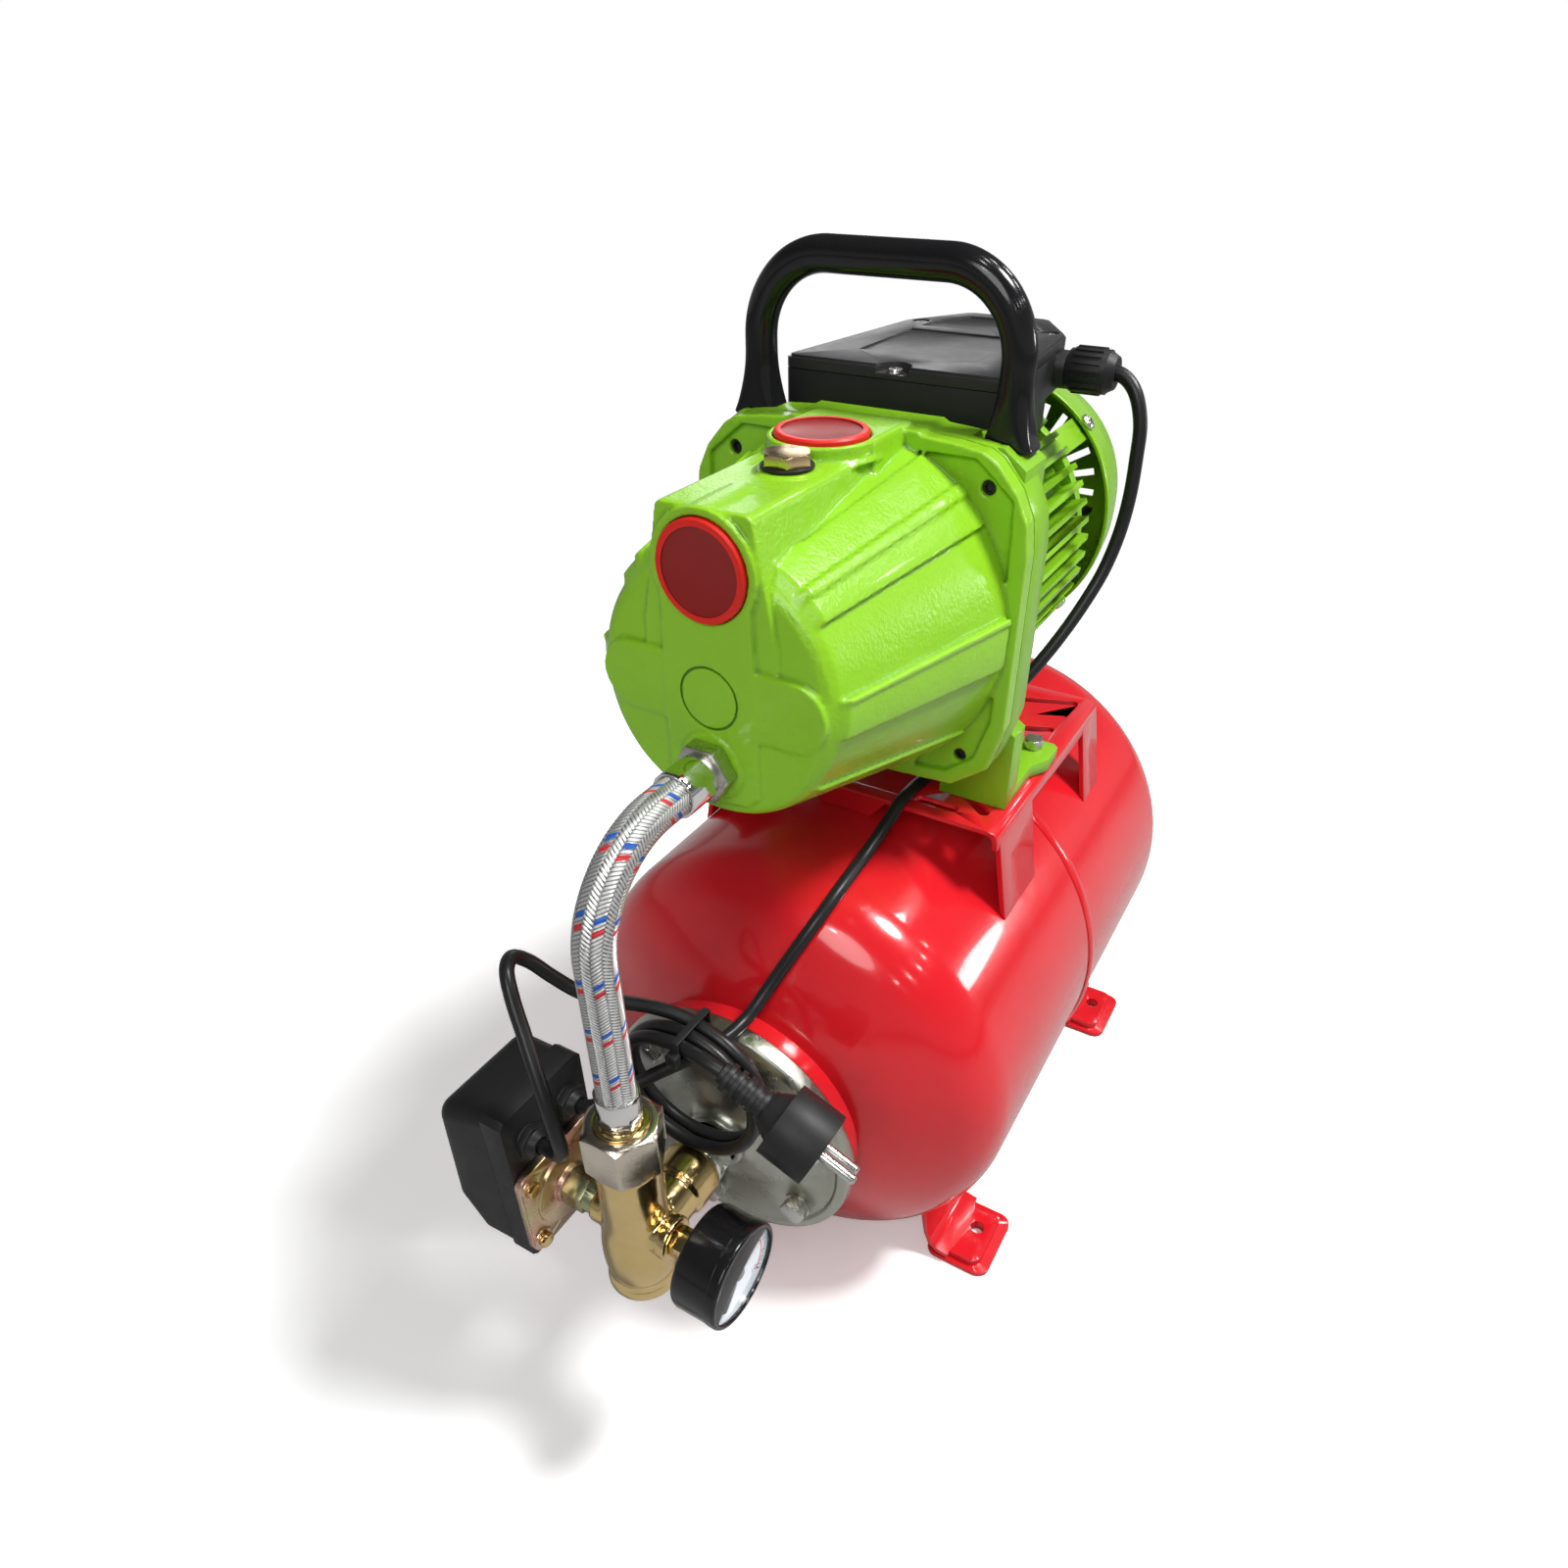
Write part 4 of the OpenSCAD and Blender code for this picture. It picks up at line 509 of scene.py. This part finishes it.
def makeFinish(name, s):
    mat, tree, shader = newFinish(name, {
        "Metallic": s["metal"], "Specular IOR Level": s["shine"], "Coat Weight": s["coat"],
        "Coat Roughness": s["coatRough"], "Subsurface Weight": s["soft"],
        "Subsurface Scale": s["softDepth"]})
    shade = useGroup(tree, "tint", {"Color": colour(s["base"]), "Other": colour(s["other"]),
                                    "Scale": s["tintScale"], "Amount": s["tintAmount"]}).outputs[0]
    # lighter on raised edges and darker in creases: a painted highlight and a painted shade
    if "rim" in s:
        rim = useGroup(tree, "rim", {"Low": s["rimFrom"], "High": s["rimTo"]})
        shade = blend(tree, rim.outputs["Mask"], shade, colour(s["rim"]))
        shade = blend(tree, rim.outputs["Painted Crease Shade"], shade, colour(s["crease"]))
    # painted shade on the caps' discs
    if "inner" in s:
        disc = put(tree, "Attribute", attribute_name="inner").outputs["Fac"]
        shade = blend(tree, disc, shade, colour(s["inner"]))
    joinTo(tree, shader, {"Base Color": shade, **surface(tree, s)})
    return mat


def makeGlass(s):
    mat, tree, shader = newFinish("glass", {"Transmission Weight": 1.0, "IOR": s["bends"],
                                            "Base Color": colour(s["base"])})
    joinTo(tree, shader, surface(tree, s))
    # lamps shine through to the dial
    clear = put(tree, "BsdfTransparent").outputs[0]
    shadow = put(tree, "LightPath").outputs["Is Shadow Ray"]
    joinTo(tree, tree.nodes["Material Output"],
           {"Surface": pickShader(tree, shadow, shader.outputs[0], clear)})
    return mat


braidLook = {"dull": (0.62, 0.62, 0.62), "bright": (0.86, 0.85, 0.83), "gap": (0.02, 0.02, 0.022),
             "red": (0.62, 0.025, 0.035), "blue": (0.012, 0.11, 0.5), "raised": (0.3, 0.78),
             "patches": 500.0, "wires": 5, "wireStrength": 0.8, "wireDepth": 0.00006,
             "gloss": (0.4, 0.6)}


def braidFinish(s):
    # steel wires side by side in each strand, dark gaps between strands, and dyed threads
    mat, tree, shader = newFinish("braid", {})
    high, thread, across = (put(tree, "Attribute", attribute_name=name).outputs["Fac"]
                            for name in ("high", "thread", "across"))
    place = put(tree, "TexCoord").outputs["Object"]
    steel = blend(tree, cloud(tree, "steel", place, s["patches"]), colour(s["dull"]),
                  colour(s["bright"]))
    raised = ramp(tree, high, *s["raised"])
    wire = blend(tree, raised, colour(s["gap"]), steel)
    isRed = reckon(tree, "LESS_THAN", thread, -0.5)
    isBlue = reckon(tree, "GREATER_THAN", thread, 0.5)
    isDyed = reckon(tree, "ADD", isRed, isBlue)
    shade = blend(tree, isRed, wire, colour(s["red"]))
    shade = blend(tree, isBlue, shade, colour(s["blue"]))
    metal = reckon(tree, "MULTIPLY", reckon(tree, "SUBTRACT", 1.0, isDyed), raised)
    wave = reckon(tree, "SINE", reckon(tree, "MULTIPLY", across, math.tau * s["wires"]))
    bump = put(tree, "Bump", {"Strength": s["wireStrength"], "Distance": s["wireDepth"],
                              "Height": wave}).outputs[0]
    gloss = ramp(tree, isDyed, 0.0, 1.0, *s["gloss"])
    joinTo(tree, shader, {"Base Color": shade, "Metallic": metal, "Roughness": gloss,
                          "Normal": bump})
    return mat


mats = {name: makeFinish(name, {**usual, **s}) for name, s in finishes.items()}
mats["glass"] = makeGlass(glassLook)
mats["braid"] = braidFinish(braidLook)
slotOf = {row["node"]: row["material_slot"] for row in frame["record"]["subparts"]}
for name, node in nodes.items():
    node.data.materials.clear()
    node.data.materials.append(mats[slotOf[name]])
for lead in (motorLead, mainsLead):
    lead.data.materials.append(mats["black_rubber"])
print("finishes made:", len(mats))

# pieces made from the frame's own shapes
bodyOf = {n: body for body, names in frame["record"]["behaviour"]["bodies"].items()
          for n in names}


def camel(name):
    head, *rest = name.split("_")
    return head + "".join(w.capitalize() for w in rest)


def only(piece):
    bpy.ops.object.select_all(action="DESELECT")
    piece.select_set(True)
    bpy.context.view_layer.objects.active = piece


def applyMods(piece):
    only(piece)
    for mod in list(piece.modifiers):
        bpy.ops.object.modifier_apply(modifier=mod.name)


# welding distances in metres, and then degrees between faces
edgeSet = {"weld": 0.000002, "spinWeld": 0.000005, "flat": 0.6, "sharp": 32, "smooth": 40}


def paint(piece, slot):
    piece.data.materials.clear()
    piece.data.materials.append(mats[slot])


def bindTo(piece, node):
    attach(piece, bodyOf[node])
    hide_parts(node)
    paint(piece, slotOf[node])


def meshPiece(name, bm):
    mesh = bpy.data.meshes.new(name)
    bm.to_mesh(mesh)
    bm.free()
    return addPiece(name, mesh)


def weldedCopy(node):
    bm = bmesh.new()
    bm.from_mesh(nodes[node].data)
    bmesh.ops.remove_doubles(bm, verts=bm.verts, dist=edgeSet["weld"])
    bmesh.ops.dissolve_limit(bm, angle_limit=math.radians(edgeSet["flat"]),
                             verts=bm.verts, edges=bm.edges)
    bmesh.ops.triangulate(bm, faces=[f for f in bm.faces if len(f.verts) > 4])
    return meshPiece(camel(node), bm)


def faceOutward(piece, weld=None):
    only(piece)
    bpy.ops.object.mode_set(mode="EDIT")
    bpy.ops.mesh.select_all(action="SELECT")
    if weld:
        bpy.ops.mesh.remove_doubles(threshold=weld)
    bpy.ops.mesh.normals_make_consistent(inside=False)
    bpy.ops.object.mode_set(mode="OBJECT")


def smoothByAngle(piece, angle):
    only(piece)
    bpy.ops.object.shade_smooth_by_angle(angle=math.radians(angle), keep_sharp_edges=True)


def roundEdges(piece, width, angle):
    mod = piece.modifiers.new("edges", "BEVEL")
    mod.width = width * mm
    mod.segments = 2
    mod.limit_method = "ANGLE"
    mod.angle_limit = math.radians(angle)
    return mod


def smoothCopy(node, width):
    # the node's own shape with its sharp edges rounded a little
    piece = weldedCopy(node)
    roundEdges(piece, width, edgeSet["sharp"]).miter_outer = "MITER_ARC"
    applyMods(piece)
    smoothByAngle(piece, edgeSet["smooth"])
    bindTo(piece, node)
    return piece


# how much is rounded off each node's sharp edges, in millimetres
edgeWidths = {
    "foot_front": 0.8, "foot_rear": 0.8, "pump_bracket": 0.7, "flange_bolts": 0.3,
    "air_valve": 0.25, "valve_cap": 0.3, "priming_plug": 0.35, "priming_washer": 0.3,
    "motor_bracket": 1.1, "foot_bolts": 0.3, "motor_frame": 0.7, "end_shield": 0.7, "fan": 0.3,
    "fan_cover": 0.35, "cover_screws": 0.2, "terminal_box": 0.9, "terminal_lid": 0.35,
    "lid_screws": 0.15, "cord_gland": 0.4, "hose_nut": 0.4, "hose_sleeves": 0.3,
    "hose_tail": 0.3, "tank_nipple": 0.4, "gauge_stem": 0.3, "switch_nut": 0.4,
    "switch_flange": 0.4, "switch_base": 0.8, "switch_cover": 1.2, "switch_bolts": 0.2,
    "switch_glands": 0.4, "mains_plug": 0.5, "plug_pins": 0.2, "cord_tie": 0.3, "pump_bolts": 0.2,
    "suction_cap": 0.3, "discharge_cap": 0.3, "gauge_case": 0.4, "gauge_glass": 0.1,
    "gauge_needle": 0.1, "tank_flange": 0.4,
}
made = {name: smoothCopy(name, width) for name, width in edgeWidths.items()}
print("smooth copies made:", len(made))


# turned shells
def turned(name, outline, centre, steps, upright=False):
    # the outline gives radius and place along the axis, in millimetres
    mesh = bpy.data.meshes.new(name)
    points = [Vector((r, 0, a) if upright else (r, a, 0)) * mm for r, a in outline]
    mesh.from_pydata(points, [(i, (i + 1) % len(points)) for i in range(len(points))], [])
    piece = addPiece(name, mesh)
    only(piece)
    bpy.ops.object.mode_set(mode="EDIT")
    bpy.ops.mesh.select_all(action="SELECT")
    bpy.ops.mesh.spin(steps=steps, angle=math.tau, center=(0, 0, 0),
                      axis=(0, 0, 1) if upright else (0, 1, 0))
    bpy.ops.object.mode_set(mode="OBJECT")
    faceOutward(piece, edgeSet["spinWeld"])
    mesh.transform(Matrix.Translation(Vector(centre) * mm))
    return piece


def arcPoints(cx, cy, r, a0, a1, n):
    return [(cx + r * math.cos(math.radians(a0 + (a1 - a0) * i / n)),
             cy + r * math.sin(math.radians(a0 + (a1 - a0) * i / n))) for i in range(n + 1)]


tank = {"radius": 134.5, "halfLength": 211, "dome": 70, "knuckle": 40, "wall": 2, "seam": -8,
        "axis": 149.5, "gap": 0.15, "strips": 10, "strip": 14, "kneeSteps": 14,
        "crownSteps": 16, "steps": 160, "smooth": 40,
        "front": {"mouth": 46, "seat": 71, "seatAt": 210},
        "rear": {"mouth": 6, "seat": 20, "seatAt": 212.5},
        "bolts": {"circle": 60, "first": 20, "apart": 60, "middle": -209, "hole": 4.3,
                  "long": 46, "steps": 20},
        "bead": [(-1, 0.5), (-1, 4), (0.4, 4), (1.0, 3.3), (1.4, 2), (1.6, 0), (1.4, -1.6),
                 (1.1, -2.8), (0.3, -4), (0.3, 0.5)]}


def domeLine(s, thin, fromRadius):
    start = s["halfLength"] - s["dome"]
    crown = ((s["radius"] - s["knuckle"]) ** 2 + s["dome"] ** 2 - s["knuckle"] ** 2) / (
        2 * (s["dome"] - s["knuckle"]))
    kx = s["radius"] - s["knuckle"]
    cy = start + s["dome"] - crown
    join = math.degrees(math.atan2(start - cy, kx))
    edge = math.degrees(math.acos(fromRadius / (crown - thin)))
    return (arcPoints(kx, start, s["knuckle"] - thin, 0, join, s["kneeSteps"])
            + arcPoints(0, cy, crown - thin, join + 1, edge, s["crownSteps"]))


def tankHalf(name, s, way, end):
    # way is -1 for the front half and 1 for the rear one
    outline = [(s["radius"], s["gap"] + i * s["strip"]) for i in range(s["strips"])]
    outline += domeLine(s, 0, end["seat"])
    outline += [(end["seat"], end["seatAt"]), (end["mouth"], end["seatAt"])]
    outline += domeLine(s, s["wall"], end["mouth"])[::-1]
    outline += [(s["radius"] - s["wall"], s["gap"])]
    return turned(name, [(r, way * along) for r, along in outline],
                  (0, s["seam"], s["axis"]), s["steps"])


def seamBead(s):
    outline = [(s["radius"] + out, along) for out, along in s["bead"]]
    return turned("tankSeam", outline, (0, s["seam"], s["axis"]), s["steps"])


def cut(piece, *tools):
    for tool in tools:
        mod = piece.modifiers.new("cut", "BOOLEAN")
        mod.object = tool
    applyMods(piece)
    for tool in tools:
        bpy.data.objects.remove(tool)


def rods(name, rows, steps):
    # closed rods, each given by its middle, direction, radius and length
    bm = bmesh.new()
    for middle, way, radius, length in rows:
        turn = Vector((0, 0, 1)).rotation_difference(Vector(way)).to_matrix().to_4x4()
        bmesh.ops.create_cone(bm, cap_ends=True, segments=steps, radius1=radius * mm,
                              radius2=radius * mm, depth=length * mm,
                              matrix=Matrix.Translation(Vector(middle) * mm) @ turn)
    return meshPiece(name, bm)


def boltHoles(s):
    rows = []
    for angle in range(s["bolts"]["first"], 360, s["bolts"]["apart"]):
        a, r = math.radians(angle), s["bolts"]["circle"]
        middle = (r * math.cos(a), s["bolts"]["middle"], s["axis"] + r * math.sin(a))
        rows.append((middle, (0, 1, 0), s["bolts"]["hole"], s["bolts"]["long"]))
    return rods("boltHoles", rows, s["bolts"]["steps"])


frontHalf = tankHalf("tankFront", tank, -1, tank["front"])
rearHalf = tankHalf("tankRear", tank, 1, tank["rear"])
bead = seamBead(tank)
cut(frontHalf, boltHoles(tank))
for piece in (frontHalf, rearHalf, bead):
    smoothByAngle(piece, tank["smooth"])
bindTo(frontHalf, "tank_front_shell")
bindTo(rearHalf, "tank_rear_shell")
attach(bead, "set")
paint(bead, "red_paint")
print("tank made")


# castings, whose edges all flow into each other
def castCopy(name, node, s):
    piece = weldedCopy(node)
    piece.name = name
    mod = piece.modifiers.new("even", "REMESH")
    mod.mode = "VOXEL"
    mod.voxel_size = s["voxel"] * 1 * mm
    applyMods(piece)
    bpy.ops.object.mode_set(mode="EDIT")
    bpy.ops.mesh.select_all(action="SELECT")
    bpy.ops.mesh.vertices_smooth(factor=0.5, repeat=s["rounds"])
    bpy.ops.object.mode_set(mode="OBJECT")
    triangles = 2 * len(piece.data.polygons)
    if triangles > s["most"]:
        mod = piece.modifiers.new("fewer", "DECIMATE")
        mod.ratio = s["most"] / triangles
        applyMods(piece)
    smoothByAngle(piece, s["smooth"])
    return piece


pump = {"voxel": 0.85, "rounds": 3, "most": 190000, "smooth": 70, "capSeat": 20.75,
        "seatDepth": 2.2, "tool": 10, "front": -219.5, "suction": 462, "top": 491,
        "outlet": -127.5, "plugSeat": ((4, -162.5, 490.05), (0, 0, 1), 12.6, 8),
        "ringAt": (0, -220, 409), "ring": [(12.8, -1.4), (14.3, -1.4), (14.1, 1.6), (13.0, 1.6)],
        "steps": 96}
fitting = {"voxel": 0.85, "rounds": 4, "most": 190000, "smooth": 70}


def makePump(s):
    piece = castCopy("pumpBody", "pump_body", s)
    sink = s["tool"] / 2 - s["seatDepth"]
    cut(piece, rods("capSeats", [
        ((0, s["front"] - sink, s["suction"]), (0, 1, 0), s["capSeat"], s["tool"]),
        ((0, s["outlet"], s["top"] + sink), (0, 0, 1), s["capSeat"], s["tool"]),
        s["plugSeat"]], s["steps"]))
    cut(piece, turned("ringTool", s["ring"], s["ringAt"], s["steps"]))
    return piece


bindTo(makePump(pump), "pump_body")
bindTo(castCopy("fiveWay", "five_way", fitting), "five_way")


# the union nut closes round the brass tail with a wide chamfered ring
nut = {"across": 34.5, "low": 210.5, "high": 237.6, "bore": 12.75, "place": (0, -306, 0),
       "steps": 96, "tool": 60, "edge": 0.45, "sharp": 35, "smooth": 40}


def unionNut(s):
    half, bore, low, high = s["across"] / 2, s["bore"], s["low"], s["high"]
    side = math.radians(30)
    corner = half / math.cos(side)
    wide = corner + 0.1
    # up the outside, with both ends chamfered, and down the bore
    piece = turned("unionNut", [
        (bore + 1.6, low), (half - 0.6, low), (wide, low + 2.2), (wide, high - 2.4),
        (half - 0.4, high - 0.4), (half - 1.1, high), (bore + 0.5, high), (bore, high - 0.5),
        (bore, low + 18), (bore + 1.6, low + 17)], s["place"], s["steps"], upright=True)
    bpy.ops.mesh.primitive_cylinder_add(vertices=6, radius=corner * mm, depth=s["tool"] * mm)
    prism = bpy.context.object
    middle = Vector(s["place"]) + Vector((0, 0, (low + high) / 2))
    prism.data.transform(Matrix.Translation(middle * mm) @ Matrix.Rotation(side, 4, "Z"))
    mod = piece.modifiers.new("hex", "BOOLEAN")
    mod.operation = "INTERSECT"
    mod.object = prism
    roundEdges(piece, s["edge"], s["sharp"])
    applyMods(piece)
    bpy.data.objects.remove(prism)
    smoothByAngle(piece, s["smooth"])
    return piece


bindTo(unionNut(nut), "union_nut")


def loft(name, rings):
    # rings of points, each joined to the next, and closed at both ends
    bm = bmesh.new()
    loops = [[bm.verts.new(point) for point in ring] for ring in rings]
    for a, b in zip(loops, loops[1:]):
        for j in range(len(a)):
            k = (j + 1) % len(a)
            bm.faces.new((a[j], a[k], b[k], b[j]))
    bm.faces.new(loops[0][::-1])
    bm.faces.new(loops[-1])
    bmesh.ops.recalc_face_normals(bm, faces=bm.faces)
    return meshPiece(name, bm)


# the handle: one moulded bar whose square feet flow into a round grip
grip = {"radius": 7.5, "leg": 63, "bend": 35, "top": 548.5, "foot": 480.4, "y": -73,
        "wide": 5.0, "deep": 0.7, "lean": 0.5, "square": 4.5, "footEdge": (0.8, 0.25),
        "closer": 1.15, "legSteps": 30, "bendSteps": 24, "around": 56, "smooth": 50}


def gripRings(s):
    # middle, outward way, half width, half depth and squareness, up one leg and half across
    rise = s["top"] - s["bend"] - s["foot"]
    rings = []
    for i in range(s["legSteps"] + 1):
        t = i / s["legSteps"]
        ease = t * t * (3 - 2 * t)
        small = s["footEdge"][i] if i < len(s["footEdge"]) else 0
        rings.append(((s["leg"] + s["lean"] * (1 - t) ** 2,
                       s["foot"] + rise * t ** s["closer"]), (1, 0),
                      s["radius"] + s["wide"] * (1 - t) ** 3 - small,
                      s["radius"] + s["deep"] * (1 - ease) - small,
                      2 + s["square"] * (1 - ease) ** 2))
    for i in range(1, s["bendSteps"] + 1):
        a = math.radians(90 * i / s["bendSteps"])
        rings.append(((s["leg"] - s["bend"] * (1 - math.cos(a)),
                       s["top"] - s["bend"] * (1 - math.sin(a))), (math.cos(a), math.sin(a)),
                      s["radius"], s["radius"], 2))
    rings.append(((0, s["top"]), (0, 1), s["radius"], s["radius"], 2))
    return rings


def gripMesh(s):
    half = gripRings(s)
    left = [((-x, z), (-u, w), a, b, e) for (x, z), (u, w), a, b, e in half[:-1]]
    rings = []
    for (x, z), (u, w), a, b, e in left + half[::-1]:
        ring = []
        for j in range(s["around"]):
            turn = math.tau * j / s["around"]
            c, d = (math.copysign(abs(v) ** (2 / e), v) for v in (math.cos(turn), math.sin(turn)))
            ring.append(Vector((x + a * c * u, s["y"] + b * d, z + a * c * w)) * mm)
        rings.append(ring)
    piece = loft("handle", rings)
    smoothByAngle(piece, s["smooth"])
    return piece


bindTo(gripMesh(grip), "handle")
print("castings and handle made")


# the braided hose: six pairs of columns whose strands slant against each other
hose = {"radius": 9, "bend": 46, "height": 378, "front": -306, "start": -233.2, "end": 242.6,
        "columns": 12, "pitch": 1.65, "rise": 2.4, "depth": 0.6, "around": 120,
        "step": 0.28, "strand": 0.47, "fall": 0.5, "steep": 6, "ring": 27, "first": 21.6,
        "dash": 2.3, "apart": 4.6, "dyeFrom": 0.2, "smooth": 75}


def hosePath(s):
    # places and outward directions every step along the middle line
    straight = s["start"] - (s["front"] + s["bend"])
    quarter = math.pi / 2 * s["bend"]
    fall = s["height"] - s["bend"] - s["end"]
    total = straight + quarter + fall
    step = s["step"] * 1
    rows = []
    count = math.floor(total / step)
    for i in range(count + 1):
        v = total * i / count
        if v <= straight:
            rows.append((v, (s["start"] - v, s["height"]), (0, 1)))
        elif v <= straight + quarter:
            a = (v - straight) / s["bend"]
            way = (-math.sin(a), math.cos(a))
            rows.append((v, (s["front"] + s["bend"] + s["bend"] * way[0],
                             s["height"] - s["bend"] + s["bend"] * way[1]), way))
        else:
            rows.append((v, (s["front"], s["height"] - s["bend"] - (v - straight - quarter)),
                         (-1, 0)))
    return rows


def braidAt(s, turn, along):
    # height of the weave from 0 to 1, its dye (1 blue, -1 red) and its place across a strand
    u = turn * s["columns"]
    column = math.floor(u)
    side = u - column - 0.5
    slant = 1 if column % 2 == 0 else -1
    k = along / s["pitch"] + slant * s["rise"] / s["pitch"] * side + (0 if slant > 0 else 0.5)
    strand = math.floor(k)
    part = k - strand - 0.5
    high = math.sqrt(max(0.0, 1 - (part / s["strand"]) ** 2))
    high *= 1 - s["fall"] * abs(2 * side) ** s["steep"]
    spot = (k * s["pitch"] - s["first"]) % s["ring"]
    thread = 0.0
    if slant < 0 and high > s["dyeFrom"]:
        thread = 1.0 if spot < s["dash"] else -1.0 if 0 < spot - s["apart"] < s["dash"] else 0.0
    return high, thread, k


def makeBraid(s):
    rows = hosePath(s)
    around = s["around"] // 1
    points, high, thread, across = [], [], [], []
    for v, (y, z), (ny, nz) in rows:
        for j in range(around):
            a = math.tau * (j + 0.5) / around
            h, t, k = braidAt(s, (j + 0.5) / around, v)
            r = s["radius"] - s["depth"] * (1 - h)
            points.append(Vector((r * math.cos(a), y + r * math.sin(a) * ny,
                                  z + r * math.sin(a) * nz)) * mm)
            high.append(h)
            thread.append(t)
            across.append(k)
    faces = []
    for i in range(len(rows) - 1):
        for j in range(around):
            a, b = i * around + j, i * around + (j + 1) % around
            faces.append((a, b, b + around, a + around))
    last = (len(rows) - 1) * around
    faces += [tuple(range(around))[::-1], tuple(range(last, last + around))]
    mesh = bpy.data.meshes.new("hoseBraid")
    mesh.from_pydata(points, [], faces)
    for name, values in (("high", high), ("thread", thread), ("across", across)):
        layer = mesh.attributes.new(name, "FLOAT", "POINT")
        layer.data.foreach_set("value", values)
    piece = addPiece("hoseBraid", mesh)
    faceOutward(piece)
    smoothByAngle(piece, s["smooth"])
    return piece


hoseBraid = makeBraid(hose)
bindTo(hoseBraid, "hose")
print("hose made:", len(hoseBraid.data.polygons), "faces")


# gauge dial: ticks, numbers and a red arc lie on the dial's face
dial = {"place": (58.83, -306, 163.5), "from": 225, "sweep": 270, "top": 10, "thick": 0.05,
        "tickOut": 21.6, "ticks": 5, "long": (3.4, 0.64), "short": (2.0, 0.32),
        "numberAt": 15.2, "numberSize": 4.6, "numberEvery": 2,
        "red": (8, 10), "redIn": 17.6, "redOut": 18.6, "redSteps": 24, "weld": 0.000001}


def dialAngle(s, value):
    return s["from"] - s["sweep"] * value / s["top"]


def dialPlace(s, angle, r):
    a = math.radians(angle)
    x, y, z = s["place"]
    return Vector((x, y + r * math.cos(a), z + r * math.sin(a))) * mm


def dialMarks(s):
    bm = bmesh.new()
    for i in range(s["top"] * s["ticks"] + 1):
        angle = dialAngle(s, i / s["ticks"])
        long, wide = s["short"] if i % s["ticks"] else s["long"]
        mid = dialPlace(s, angle, s["tickOut"] - long / 2)
        turn = Matrix.Rotation(math.radians(angle), 4, "X")
        bmesh.ops.create_cube(bm, size=1, matrix=Matrix.Translation(mid) @ turn @ Matrix.Diagonal(
            (s["thick"] * mm, long * mm, wide * mm, 1)))
    return meshPiece("dialMarks", bm)


def dialNumber(s, value):
    bpy.ops.object.text_add(location=(0, 0, 0))
    text = bpy.context.object
    text.data.body = str(value)
    text.data.size = s["numberSize"] * mm
    text.data.align_x = "CENTER"
    text.data.align_y = "CENTER"
    text.data.extrude = s["thick"] / 2 * mm
    bpy.ops.object.convert(target="MESH")
    stand = Matrix(((0, 0, 1, 0), (1, 0, 0, 0), (0, 1, 0, 0), (0, 0, 0, 1)))
    place = dialPlace(s, dialAngle(s, value), s["numberAt"])
    text.data.transform(Matrix.Translation(place) @ stand)
    return text


def dialArc(s):
    first, last = s["red"]
    rings = []
    for i in range(s["redSteps"] + 1):
        angle = dialAngle(s, first + (last - first) * i / s["redSteps"])
        rings.append([dialPlace(s, angle, r) + Vector((x * mm, 0, 0)) for r, x in (
            (s["redIn"], 0), (s["redOut"], 0), (s["redOut"], s["thick"]),
            (s["redIn"], s["thick"]))])
    return loft("dialArc", rings)


marks = dialMarks(dial)
numbers = [dialNumber(dial, value) for value in range(0, dial["top"] + 1, dial["numberEvery"])]
only(marks)
for number in numbers:
    number.select_set(True)
bpy.ops.object.join()
faceOutward(marks, dial["weld"])
arc = dialArc(dial)
for piece, slot in ((marks, "black_matte"), (arc, "red_plastic")):
    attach(piece, "set")
    paint(piece, slot)
print("dial made")


# the caps' discs inside their rims are painted a darker red, as painted shade
discs = {"reach": 17.6, "middles": {"suction_cap": (0, -220.5, 462),
                                    "discharge_cap": (0, -127.5, 492)}}


def markInner(piece, middle, reach):
    layer = piece.data.attributes.new("inner", "FLOAT", "FACE")
    for face in piece.data.polygons:
        away = face.center - Vector(middle) * mm
        layer.data[face.index].value = 1.0 if away.length < reach * mm else 0.0


for name, middle in discs["middles"].items():
    markInner(made[name], middle, discs["reach"])
